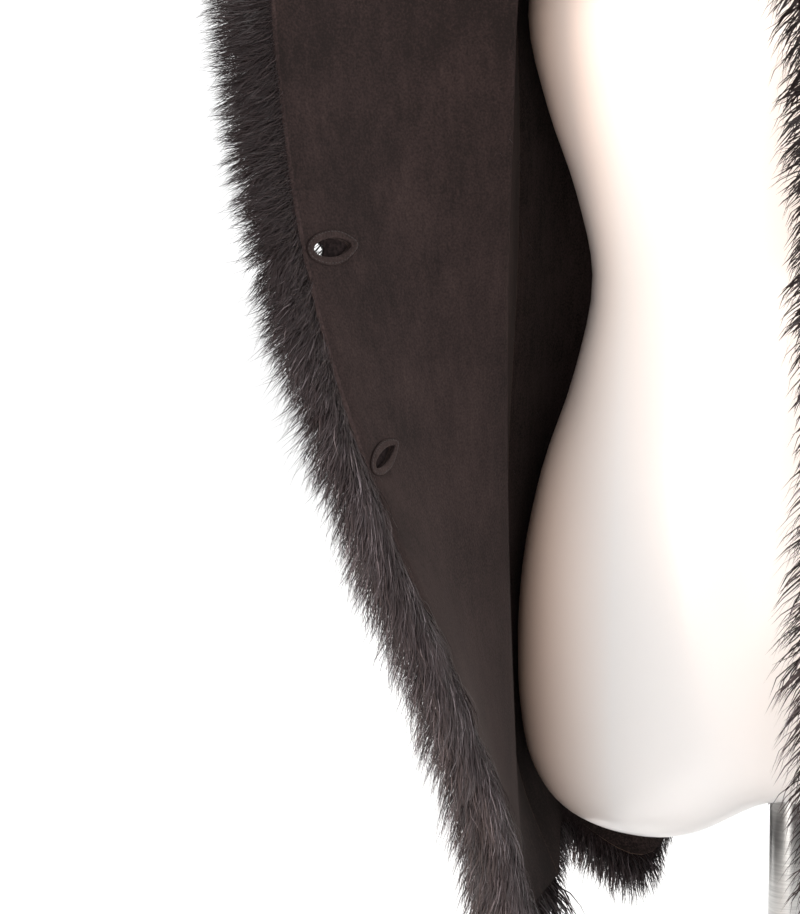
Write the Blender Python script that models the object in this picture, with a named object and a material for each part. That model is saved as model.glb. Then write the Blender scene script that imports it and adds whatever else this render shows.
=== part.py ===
"""A short fur coat worn open on a limbless torso form that stands on a pole and a round base.

The coat is cut as a back, two fronts and two sleeves. The fur is outside and the suede side of the
skins is the inside. A suede facing is sewn inside each front edge. The wearer's right front is turned
back at the facing's seam, so that its two bound buttonholes show, and the left front carries two
buttons. Front is -Y, the wearer's right is -X, and Z is up from the floor. Tables are in millimetres.
"""

import math

import bmesh
import bpy
import numpy as np

MM = 0.001

# ---- driving sizes, in millimetres ----
SEAM_GAP = 0.4            # between neighbouring pieces
PILE = 26.0               # fur standing off the skin, where it has room
PILE_SLOPE = 0.5          # how fast its depth may change along the skin
PILE_LEAST = 2.0          # fur pressed flat in a seam's corner
FREE_EDGE_REACH = 22.0    # fur beyond a front edge, hem or cuff
FRINGE = [(1.0, 0.40, 0.62), (0.55, 0.16, 0.86)]  # that fur's profile: share of reach, floor, top
FACING_THICK = 1.5
FACING_INSET = 1.5        # facing's edge back from the skin's edge
BINDING_RISE = 1.4        # bound rim standing on the facing
BINDING_GAP = 0.4
HOLE_HALF = 14.6          # half the length of a buttonhole
BINDING_WIDE = (5.2, 4.3) # its bound rim, at the ends and along the sides
SLIT_HALF = (13.6, 1.8)   # the same buttonhole where the fur closes on it
BUTTONHOLE_IN = 21.6      # buttonhole's middle back from the front edge
BUTTONHOLES = [(457.0, 16.0, 2.9), (568.0, 3.0, 5.0)]   # height, tilt in degrees, half its gape
BUTTON_RADIUS = 14.0
BUTTON_THICK = 5.0
BUTTON_POCKET = 17.0      # radius of the parting in the fur round a button
BUTTON_FLOOR = 12.0       # height of that parting's floor over the skin
BUTTON_IN = 19.0          # button's middle back from the front edge
POLE_RADIUS = 12.5
BASE_RADIUS = 165.0
BASE_THICK = 12.0

# ---- the cloth, as tables: one row a section from hem to shoulder, one column a line of the cut ----
# Right side seam, from the hem up to the armpit. The left one is its mirror image.
SIDE_SEAM = [
    (-143, -9, 163), (-168, -3, 222), (-178, 3, 320), (-178, 3, 430), (-173, 2, 540), (-172, 0, 640),
    (-175, 0, 710),
]
ARMHOLE_FRONT = [(-153, -70, 790), (-163, -46, 855), (-174, -20, 893), (-178, 8, 905)]
ARMHOLE_BACK = [(-162, 64, 790), (-168, 52, 855), (-176, 32, 893), (-178, 8, 905)]

# Right front, turned back: front edge, seam of the facing, line down from the neck point.
RIGHT_FRONT = [
    ((-112, -268, 160), (-145, -122, 160), (-149, -78, 162)),
    ((-120, -269, 220), (-150, -122, 220), (-157, -76, 220)),
    ((-151, -272, 320), (-155, -122, 320), (-167, -76, 320)),
    ((-200, -266, 430), (-158, -122, 430), (-169, -76, 430)),
    ((-242, -246, 540), (-158, -122, 540), (-167, -76, 540)),
    ((-265, -224, 640), (-155, -122, 640), (-165, -78, 640)),
    ((-273, -214, 710), (-152, -122, 710), (-163, -82, 710)),
    ((-265, -200, 790), (-136, -118, 792), (-146, -90, 790)),
    ((-226, -188, 853), (-109, -100, 862), (-126, -72, 860)),
    ((-178, -176, 893), (-84, -66, 904), (-96, -38, 920)),
    ((-142, -150, 926), (-62, -42, 931), (-72, 8, 947)),
]
# Left front, hanging open, in the same columns.
LEFT_FRONT = [
    ((42, -224, 160), (150, -124, 160), (150, -78, 162)),
    ((40, -222, 220), (154, -124, 220), (157, -76, 220)),
    ((37, -219, 320), (156, -122, 320), (167, -76, 320)),
    ((34, -215, 430), (154, -120, 430), (168, -76, 430)),
    ((29, -210, 540), (149, -119, 540), (163, -76, 540)),
    ((23, -206, 640), (145, -119, 640), (160, -78, 640)),
    ((15, -202, 710), (138, -119, 710), (155, -82, 710)),
    ((3, -190, 786), (122, -115, 791), (141, -90, 790)),
    ((-6, -168, 834), (102, -97, 862), (124, -72, 860)),
    ((-22, -138, 872), (80, -68, 904), (96, -38, 920)),
    ((-36, -108, 896), (62, -42, 931), (72, 8, 947)),
]
# Back: corner behind the side seam, line down from the neck point, centre back. Right half.
BACK = [
    ((-148, 78, 187), (-98, 148, 184), (0, 172, 178)),
    ((-157, 82, 233), (-96, 142, 228), (0, 160, 228)),
    ((-157, 85, 320), (-90, 132, 320), (0, 144, 320)),
    ((-152, 82, 430), (-87, 124, 430), (0, 132, 430)),
    ((-147, 78, 540), (-84, 116, 540), (0, 122, 540)),
    ((-150, 75, 640), (-86, 110, 640), (0, 116, 640)),
    ((-160, 68, 710), (-96, 106, 710), (0, 112, 710)),
    ((-140, 88, 790), (-90, 106, 790), (0, 110, 790)),
    ((-138, 82, 855), (-84, 94, 862), (0, 100, 862)),
    ((-130, 44, 911), (-78, 48, 926), (0, 80, 920)),
    ((-125, 8, 926), (-72, 8, 947), (0, 70, 938)),
]
STEPS_UP = (2, 3, 3, 3, 2, 2, 3, 2, 2, 2)
ARMPIT_ROW = sum(STEPS_UP[:6])
FRONT_STEPS = (2, 2, 2, 6)          # edge, middle of the facing, its seam, neck line, side
BACK_STEPS = (3, 3, 4, 4, 3, 3)     # side, corner, neck line, centre, and the same mirrored
SEAM_COLUMN = sum(FRONT_STEPS[:2])
FACING_BOW = 7.0                    # how far the facing's strip arches

# Flutes in the back's hem: place across (-1 right side seam, 1 left), half width, how far they go
# in at the hem, which way (x, y), how far the hem drops there, and the height where they fade out.
FLUTES = [
    {"place": -0.535, "half": 0.26, "depth": 100, "way": (0.40, -0.91), "drop": 43, "top": 300},
    {"place": 0.05, "half": 0.22, "depth": 22, "way": (0.0, -1.0), "drop": 4, "top": 300},
    {"place": 0.56, "half": 0.30, "depth": 46, "way": (-0.45, -0.89), "drop": 6, "top": 305},
]

# Right sleeve, hanging empty: outer and inner point of each slanting section (x, z), its half depth
# and its middle in y.
SLEEVE = [
    {"outer": (-207, 892), "inner": (-197, 700), "half_depth": 77, "mid_y": 2},
    {"outer": (-234, 866), "inner": (-209, 678), "half_depth": 81, "mid_y": 3},
    {"outer": (-251, 816), "inner": (-214, 642), "half_depth": 83, "mid_y": 4},
    {"outer": (-257, 742), "inner": (-216, 592), "half_depth": 83, "mid_y": 6},
    {"outer": (-255, 640), "inner": (-216, 540), "half_depth": 81, "mid_y": 9},
    {"outer": (-251, 540), "inner": (-215, 480), "half_depth": 78, "mid_y": 12},
    {"outer": (-248, 450), "inner": (-214, 422), "half_depth": 74, "mid_y": 15},
    {"outer": (-246, 368), "inner": (-214, 368), "half_depth": 69, "mid_y": 17},
]

# Torso form: height, half width, front, back, and how square the section is (2 is an ellipse).
TORSO = [
    {"z": 1000, "half": 47, "front": -34, "back": 46, "square": 2.0},
    {"z": 962, "half": 49, "front": -36, "back": 45, "square": 2.0},
    {"z": 951, "half": 54, "front": -37, "back": 43, "square": 1.7},
    {"z": 944.8, "half": 71, "front": -34, "back": 41, "square": 1.5},
    {"z": 936, "half": 88, "front": -32, "back": 46, "square": 1.3},
    {"z": 925, "half": 115, "front": -34, "back": 50, "square": 1.3},
    {"z": 912, "half": 142, "front": -40, "back": 56, "square": 1.35},
    {"z": 899, "half": 158, "front": -50, "back": 63, "square": 1.5},
    {"z": 878, "half": 165, "front": -60, "back": 71, "square": 1.85},
    {"z": 850, "half": 164, "front": -71, "back": 79, "square": 2.1},
    {"z": 800, "half": 150, "front": -88, "back": 86, "square": 2.25},
    {"z": 740, "half": 159, "front": -104, "back": 91, "square": 2.25},
    {"z": 695, "half": 164, "front": -109, "back": 91, "square": 2.25},
    {"z": 640, "half": 152, "front": -100, "back": 85, "square": 2.25},
    {"z": 590, "half": 135, "front": -87, "back": 77, "square": 2.25},
    {"z": 540, "half": 125, "front": -80, "back": 75, "square": 2.25},
    {"z": 480, "half": 136, "front": -84, "back": 84, "square": 2.25},
    {"z": 420, "half": 156, "front": -91, "back": 98, "square": 2.25},
    {"z": 360, "half": 168, "front": -96, "back": 110, "square": 2.25},
    {"z": 315, "half": 171, "front": -97, "back": 115, "square": 2.25},
    {"z": 270, "half": 169, "front": -94, "back": 109, "square": 2.25},
    {"z": 238, "half": 162, "front": -88, "back": 98, "square": 2.25},
    {"z": 215, "half": 148, "front": -77, "back": 85, "square": 2.25},
    {"z": 202, "half": 130, "front": -62, "back": 69, "square": 2.25},
    {"z": 195, "half": 104, "front": -44, "back": 50, "square": 2.25},
    {"z": 192, "half": 64, "front": -25, "back": 29, "square": 2.25},
]
TORSO_SIDES = 28
LOBE_ARCH = 34.0          # how far the middle of the underside rises between its two lobes
LOBE_HALF = 46.0          # half width of that arch
LOBE_START = 300.0        # height where it begins


# ---- curves and grids ----
def curve_through(knots, rows, at):
    """Points at the given parameters of the smooth curve through the rows."""
    wide = (-1, *([1] * (rows.ndim - 1)))
    run = np.diff(knots).reshape(wide)
    secant = np.diff(rows, axis=0) / run
    inner = (secant[:-1] * run[1:] + secant[1:] * run[:-1]) / (run[:-1] + run[1:])
    slope = np.concatenate([secant[:1], inner, secant[-1:]])
    low = np.clip(np.searchsorted(knots, at, side="right") - 1, 0, len(knots) - 2)
    span = run[low]
    t = (at - knots[low]).reshape(wide) / span
    return (
        (2 * t**3 - 3 * t**2 + 1) * rows[low]
        + (t**3 - 2 * t**2 + t) * span * slope[low]
        + (3 * t**2 - 2 * t**3) * rows[low + 1]
        + (t**3 - t**2) * span * slope[low + 1]
    )


def spaced(knots, steps):
    """Parameters that split each interval between knots into its number of steps."""
    parts = [np.linspace(a, b, n, endpoint=False) for a, b, n in zip(knots, knots[1:], steps)]
    return np.concatenate([*parts, knots[-1:]])


def run_of(points):
    """Mean distance run from row to row of a table of points, from 0."""
    leg = np.linalg.norm(np.diff(points, axis=0), axis=-1)
    leg = leg.mean(axis=1) if leg.ndim == 2 else leg
    return np.concatenate([[0.0], np.cumsum(leg)])


def woven(table, steps_across, creases, shoulders):
    """A grid of points through the table, sharp at the creases. The last row, neckline and shoulder
    seams, is straight on the shoulders' columns, so that neighbours get the same points there."""
    across = run_of(table.transpose(1, 0, 2))
    ends = [0, *creases, len(across) - 1]
    filled = []
    for row in table:
        parts = []
        for a, b in zip(ends, ends[1:]):
            at = spaced(across[a : b + 1], steps_across[a:b])
            part = curve_through(across[a : b + 1], row[a : b + 1], at)
            parts.append(part if b == ends[-1] else part[:-1])
        filled.append(np.concatenate(parts))
    at = spaced(across, steps_across)
    for a, b in shoulders:
        on = (at >= across[a] - 1e-9) & (at <= across[b] + 1e-9)
        for axis in range(3):
            filled[-1][on, axis] = np.interp(at[on], across, table[-1][:, axis])
    rise = run_of(np.array(SIDE_SEAM + ARMHOLE_FRONT, float))
    return curve_through(rise, np.array(filled), spaced(rise, STEPS_UP))


def side_seam(sign):
    """The points of a side seam, the same for the front and the back that meet on it."""
    line = np.array(SIDE_SEAM, float) * (sign, 1, 1)
    rise = run_of(line)
    return curve_through(rise, line, spaced(rise, STEPS_UP[:6]))


def hump(x):
    """A smooth hump, 1 in the middle and 0 from -1 and 1 on."""
    return np.where(np.abs(x) < 1, (1 + np.cos(np.pi * np.clip(x, -1, 1))) / 2, 0.0)


def grid_normals(piece):
    """Unit normals of a piece's grid on its outward side."""
    grid, closed = piece["grid"], piece.get("closed")
    g = np.concatenate([grid[:, -1:], grid, grid[:, :1]], axis=1) if closed else grid
    n = np.cross(np.gradient(g, axis=1), np.gradient(g, axis=0)) * piece["outward"]
    n = n[:, 1:-1] if closed else n
    return n / np.linalg.norm(n, axis=2, keepdims=True)


# ---- the cloth's pieces ----
def front_piece(name, rows, sign):
    """A front: columns front edge, middle of the facing, facing seam, neck line, side."""
    sides = [(-sign * x, y, z) for x, y, z in SIDE_SEAM + ARMHOLE_FRONT]
    table = []
    for (edge, seam, neck), side in zip(rows, sides):
        edge, seam = np.array(edge, float), np.array(seam, float)
        out = np.cross(edge - seam, (0, 0, sign))
        middle = (edge + seam) / 2 - out / np.linalg.norm(out) * FACING_BOW
        table.append([edge, middle, seam, neck, side])
    grid = woven(np.array(table, float), FRONT_STEPS, creases=[2, 3], shoulders=[(3, 4)])
    grid[: ARMPIT_ROW + 1, -1] = side_seam(-sign)
    return {"name": name, "grid": grid, "outward": sign, "free": [("row", 0), ("column", 0)]}


def back_piece():
    right = [[side, *row] for side, row in zip(SIDE_SEAM + ARMHOLE_BACK, BACK)]
    table = np.array([row + [(-x, y, z) for x, y, z in row[-2::-1]] for row in right], float)
    grid = woven(table, BACK_STEPS, creases=[], shoulders=[(0, 2), (4, 6)])
    place = np.linspace(-1, 1, grid.shape[1])[None, :]
    low = SIDE_SEAM[0][2]
    height = grid[:, :, 2].copy()
    for fold in FLUTES:
        share = hump((place - fold["place"]) / fold["half"])
        share = share * np.clip((fold["top"] - height) / (fold["top"] - low), 0, 1) ** 2.2
        grid[:, :, 0] += share * fold["depth"] * fold["way"][0]
        grid[:, :, 1] += share * fold["depth"] * fold["way"][1]
        grid[:, :, 2] -= share * fold["drop"]
    grid[: ARMPIT_ROW + 1, 0] = side_seam(1)
    grid[: ARMPIT_ROW + 1, -1] = side_seam(-1)
    return {"name": "back", "grid": grid, "outward": -1, "free": [("row", 0)]}


def armhole(front, back, first_back):
    """The armhole's points, from the armpit up the front and down the back."""
    fall = back["grid"][ARMPIT_ROW:, 0 if first_back else -1]
    return np.concatenate([front["grid"][ARMPIT_ROW:, -1], fall[-2:0:-1]])


def sleeve_piece(name, ring, sign):
    """Sections from the armhole to the cuff, each with the armhole's number of points."""
    around = np.linspace(0, 2 * np.pi, len(ring), endpoint=False)
    sections = [ring * (sign, 1, 1)]
    for row in SLEEVE:
        outer = np.array([row["outer"][0], row["mid_y"], row["outer"][1]], float)
        inner = np.array([row["inner"][0], row["mid_y"], row["inner"][1]], float)
        middle, half = (outer + inner) / 2, (inner - outer) / 2
        depth = np.array([0.0, row["half_depth"], 0.0])
        sections.append([middle + half * math.cos(a) - depth * math.sin(a) for a in around])
    sections = np.array(sections)
    rise = run_of(sections)
    grid = curve_through(rise, sections, spaced(rise, [2] * len(SLEEVE))) * (sign, 1, 1)
    return {"name": name, "grid": grid, "outward": sign, "closed": True, "free": [("row", -1)]}


def seam_key(point):
    return tuple(np.round(point * 10).astype(int))


def share_normals(cloth):
    """Averages the normals where pieces meet, so that their cut edges lie face to face. A sleeve
    counts as much as the body's pieces together."""
    total = {}
    for piece in cloth:
        piece["normals"] = grid_normals(piece)
        kind = "sleeve" if piece.get("closed") else "body"
        for point, n in zip(piece["grid"].reshape(-1, 3), piece["normals"].reshape(-1, 3)):
            found = total.setdefault(seam_key(point), {})
            found[kind] = found.get(kind, 0) + n
    shared = {key: sum(n / np.linalg.norm(n) for n in found.values()) for key, found in total.items()}
    for piece in cloth:
        flat = np.array([shared[seam_key(point)] for point in piece["grid"].reshape(-1, 3)])
        flat /= np.linalg.norm(flat, axis=1, keepdims=True)
        piece["normals"] = flat.reshape(piece["grid"].shape)


def finer(piece):
    """Points of a piece's skin, three times as close as its grid."""
    grid = piece["grid"]
    grid = np.concatenate([grid, grid[:, :1]], axis=1) if piece.get("closed") else grid
    for axis in (0, 1):
        g = grid.swapaxes(0, axis)
        g = np.concatenate([g, *(g[:-1] + (g[1:] - g[:-1]) * share for share in (1 / 3, 2 / 3))])
        grid = g.swapaxes(0, axis)
    return grid.reshape(-1, 3)


def fill_with_pile(cloth):
    """The fur's depth at each point: PILE, or less where other fur leaves less room.

    The room is the radius of the largest ball that touches the skin there and holds no other skin."""
    for piece in cloth:
        others = [finer(other) for other in cloth if other is not piece]
        skin = np.concatenate([piece["grid"].reshape(-1, 3), *others])
        room = []
        for line, out in zip(piece["grid"], piece["normals"]):
            away = skin[None] - line[:, None]
            rise = np.einsum("ijk,ik->ij", away, out)
            square = (away**2).sum(axis=2)
            room.append(np.where(rise > 0.5, square / np.maximum(2 * rise, 1e-6), 1e6).min(axis=1))
        piece["depth"] = np.clip(np.array(room) * 0.6 - 1.5, PILE_LEAST, PILE)
    skin = np.concatenate([piece["grid"].reshape(-1, 3) for piece in cloth])
    depth = np.concatenate([piece["depth"].ravel() for piece in cloth])
    for piece in cloth:
        away = np.linalg.norm(skin[None] - piece["grid"].reshape(-1, 1, 3), axis=2)
        piece["depth"] = (depth[None] + PILE_SLOPE * away).min(axis=1).reshape(piece["depth"].shape)


# ---- solids ----
def mesh_object(name, vertices, faces, material, collection, smooth_from=40):
    mesh = bpy.data.meshes.new(name)
    mesh.from_pydata([tuple(v) for v in vertices], [], faces)
    mesh.polygons.foreach_set("use_smooth", [True] * len(mesh.polygons))
    mesh.materials.append(material)
    mesh.update()
    mesh.set_sharp_from_angle(angle=math.radians(smooth_from))
    item = bpy.data.objects.new(name, mesh)
    collection.objects.link(item)
    return item


def wall_between(name, low, high, closed, outward, material, collection):
    """A closed wall between two grids of points, the first under the second."""
    rows, cols = low.shape[:2]
    count = rows * cols
    vertices = np.concatenate([low.reshape(-1, 3), high.reshape(-1, 3)]) * MM

    def at(row, column):
        return row * cols + column % cols

    def cut_edge(a, b):
        """Two triangles on an edge, split the same way on both pieces that meet there."""
        if vertices[a][2] <= vertices[b][2]:
            return [[a, b, b + count], [a, b + count, a + count]]
        return [[a, b, a + count], [b, b + count, a + count]]

    faces = []
    for r in range(rows - 1):
        for c in range(cols if closed else cols - 1):
            corner, far = at(r, c), at(r + 1, c + 1)
            for face in ([corner, at(r, c + 1), far], [corner, far, at(r + 1, c)]):
                faces += [face[::-1], [v + count for v in face]]
    for c in range(cols if closed else cols - 1):
        faces += cut_edge(at(0, c), at(0, c + 1)) + cut_edge(at(rows - 1, c + 1), at(rows - 1, c))
    for r in range(0 if closed else rows - 1):
        faces += cut_edge(at(r + 1, 0), at(r, 0)) + cut_edge(at(r, cols - 1), at(r + 1, cols - 1))
    if outward < 0:
        faces = [face[::-1] for face in faces]
    return mesh_object(name, vertices, faces, material, collection)


def turned(array, side):
    """The array with the named side's line of points first."""
    array = array.swapaxes(0, 1) if side[0] == "column" else array
    return array[::-1] if side[1] else array


def turned_back(array, side):
    array = array[::-1] if side[1] else array
    return array.swapaxes(0, 1) if side[0] == "column" else array


def unit(ways):
    return ways / np.linalg.norm(ways, axis=-1, keepdims=True)


def off_the_cut(points, normals, way, closed):
    """Shifts at right angles to the cut edges that meet at each point of a side, on the way's side."""
    leg = np.diff(np.concatenate([points, points[:1]]), axis=0)
    before = np.roll(leg, 1, axis=0)
    if not closed:
        before[0], leg[-1] = leg[0], before[-1]
    shifts = []
    for along in (before, leg):
        across = unit(np.cross(along, normals))
        shifts.append(across * np.where((across * way).sum(axis=1, keepdims=True) < 0, -1, 1))
    a, b = shifts
    return (a + b) / np.maximum(1 + (a * b).sum(axis=1, keepdims=True), 0.5)


def drawn_in(grid, insets, normals=None, closed=False):
    """Moves the lines of points on a grid's sides in, each by its own inset: along the cloth, or,
    with the normals given, at right angles to the edge that is cut along them."""
    grid, first = grid.copy(), grid
    for side, inset in insets.items():
        lines, was = turned(grid, side), turned(first, side)
        way = unit(was[1] - was[0])
        if normals is not None:
            way = off_the_cut(was[0], turned(normals, side)[0], way, closed)
        lines[0] += way * inset
    return grid


def with_fringe(grid, normals, depth, free):
    """The two faces of a fur wall, with lines added past its free sides, where only fur reaches."""
    arrays = [grid, normals, depth, 0 * depth, 0 * depth + 1]
    for side in free:
        arrays = [turned(array, side) for array in arrays]
        edge, out, deep, floor, top = (array[0] for array in arrays)
        way = unit(edge - arrays[0][1])
        added = [
            (edge + way * FREE_EDGE_REACH * share, out, deep, np.maximum(floor, low), np.minimum(top, high))
            for share, low, high in FRINGE
        ]
        arrays = [np.concatenate([np.array(new), old]) for new, old in zip(zip(*added), arrays)]
        arrays = [turned_back(array, side) for array in arrays]
    grid, normals, depth, floor, top = arrays
    return grid + normals * (depth * floor)[..., None], grid + normals * (depth * top)[..., None]


def sides_of(piece):
    ends = [("row", 0), ("row", -1)]
    return ends if piece.get("closed") else ends + [("column", 0), ("column", -1)]


def fur_wall(piece, material, collection):
    """A piece of skin with its fur: the suede is the lower face, the fur's surface the upper one."""
    sewn = [side for side in sides_of(piece) if side not in piece["free"]]
    closed = piece.get("closed", False)
    grid = drawn_in(piece["grid"], {side: SEAM_GAP / 2 for side in sewn}, piece["normals"], closed)
    low, high = with_fringe(grid, piece["normals"], piece["depth"], piece["free"])
    return wall_between(piece["name"], low, high, closed, piece["outward"], material, collection)


def facing_wall(name, front, material, collection):
    """The facing's strip of suede, from the front's own points moved in off its suede side."""
    strip = slice(0, SEAM_COLUMN + 1)
    normals = front["normals"][:, strip]
    insets = {("column", 0): FACING_INSET, ("column", -1): 1.0, ("row", 0): FACING_INSET, ("row", -1): 1.0}
    grid = drawn_in(front["grid"][:, strip], insets)
    low, high = grid - normals * (SEAM_GAP + FACING_THICK), grid - normals * SEAM_GAP
    return wall_between(name, low, high, False, front["outward"], material, collection)


def on_front(front, height, inward, lift):
    """A point over a front's edge strip: at a height, so far in from the edge, lifted off the skin.
    It lies on the same triangles as the walls built on that strip."""
    strip = front["grid"][:, : SEAM_COLUMN + 1]
    rows, columns = (np.arange(count) for count in strip.shape[:2])
    run = np.linalg.norm(np.diff(strip, axis=1), axis=2).cumsum(axis=1)
    place = [np.interp(inward, [0.0, *line], columns) for line in run]
    heights = [np.interp(share, columns, line) for share, line in zip(place, strip[:, :, 2])]
    at = float(np.interp(height, heights, rows))
    share = float(np.interp(at, rows, place))
    row, column = min(int(at), rows[-2]), min(int(share), columns[-2])
    up, across = at - row, share - column
    (a, b), (c, d) = (front["grid"] + front["normals"] * lift)[row : row + 2, column : column + 2]
    return a + (b - a) * across + (d - b) * up if up <= across else a + (c - a) * up + (d - c) * across


def almond(half, count, tilt=0.0):
    """Outline of a buttonhole as (inward, up) offsets, round at the edge's side and pointed inside."""
    turn = np.linspace(0, 2 * np.pi, count, endpoint=False)
    taper = 1 - 0.38 * np.clip(np.cos(turn), 0, 1) ** 2
    across, up = half[0] * np.cos(turn), half[1] * np.sin(turn) * taper
    lean = math.radians(tilt)
    return np.stack([
        across * math.cos(lean) - up * math.sin(lean), across * math.sin(lean) + up * math.cos(lean)
    ], axis=1)


def rings_on_front(front, height, inward, rings):
    """Rings of points over a front, each an outline and a lift."""
    return np.array([
        [on_front(front, height + up, inward + across, lift) for across, up in outline]
        for outline, lift in rings
    ])


def ring_solid(name, rings, material, collection, hollow=False):
    """A closed solid through rings of points, from low to high, or round a hole back to the first."""
    count = rings.shape[1]
    faces = []
    for r in range(len(rings) if hollow else len(rings) - 1):
        low, high = r * count, (r + 1) % len(rings) * count
        faces += [[low + c, low + (c + 1) % count, high + (c + 1) % count, high + c] for c in range(count)]
    if not hollow:
        faces += [list(range(count))[::-1], list(range((len(rings) - 1) * count, len(rings) * count))]
    item = mesh_object(name, rings.reshape(-1, 3) * MM, faces, material, collection)
    face_outward(item.data)
    return item


def face_outward(mesh):
    """Turns every face of a closed mesh outward."""
    work = bmesh.new()
    work.from_mesh(mesh)
    bmesh.ops.recalc_face_normals(work, faces=work.faces)
    work.to_mesh(mesh)
    work.free()


def cut_out(item, cutters):
    for cutter in cutters:
        step = item.modifiers.new("cut_" + cutter.name, "BOOLEAN")
        step.operation, step.solver, step.object = "DIFFERENCE", "EXACT", cutter


def button_rings(front, height, profile):
    """Round rings about a button's middle: each a radius and a lift off the skin."""
    middle = on_front(front, height, BUTTON_IN, 0.0)
    out = unit(on_front(front, height, BUTTON_IN, 5.0) - middle)
    across = unit(np.cross((0.0, 0.0, 1.0), out))
    up = np.cross(out, across)
    turn = np.linspace(0, 2 * np.pi, 24, endpoint=False)[:, None]
    return np.array([
        middle + out * lift + radius * (np.cos(turn) * across + np.sin(turn) * up) for radius, lift in profile
    ])


# ---- the form and its stand ----
def torso_rings():
    """The torso's rings from top to bottom, with the arch between the lobes of its underside."""
    turn = np.linspace(0, 2 * np.pi, TORSO_SIDES, endpoint=False)
    rings = []
    for row in TORSO:
        z, half, front, back, square = (row[key] for key in ("z", "half", "front", "back", "square"))
        x, y = (np.sign(a) * np.abs(a) ** (2 / square) for a in (np.cos(turn), np.sin(turn)))
        x, y = half * x, (front + back) / 2 + (back - front) / 2 * y
        low = np.clip((LOBE_START - z) / (LOBE_START - TORSO[-1]["z"]), 0, 1) ** 1.5
        rings.append(np.stack([x, y, z + LOBE_ARCH * low * np.exp(-((x / LOBE_HALF) ** 2))], axis=1))
    for share in (0.55, 0.12):
        ring = rings[len(TORSO) - 1] * (share, share, 1)
        ring[:, 2] = TORSO[-1]["z"] + LOBE_ARCH * np.exp(-((ring[:, 0] / LOBE_HALF) ** 2))
        rings.append(ring)
    return np.array(rings)


def turned_solid(name, profile, sides, material, collection):
    """A solid of revolution about Z: each row a radius and a height."""
    turn = np.linspace(0, 2 * np.pi, sides, endpoint=False)
    rings = np.array([[(r * math.cos(a), r * math.sin(a), z) for a in turn] for r, z in profile])
    return ring_solid(name, rings, material, collection)


def paint(name, colour, roughness, metallic=0.0):
    material = bpy.data.materials.new(name)
    material.use_nodes = True
    shader = material.node_tree.nodes["Principled BSDF"]
    shader.inputs["Base Color"].default_value = (*colour, 1.0)
    shader.inputs["Roughness"].default_value = roughness
    shader.inputs["Metallic"].default_value = metallic
    return material


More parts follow.
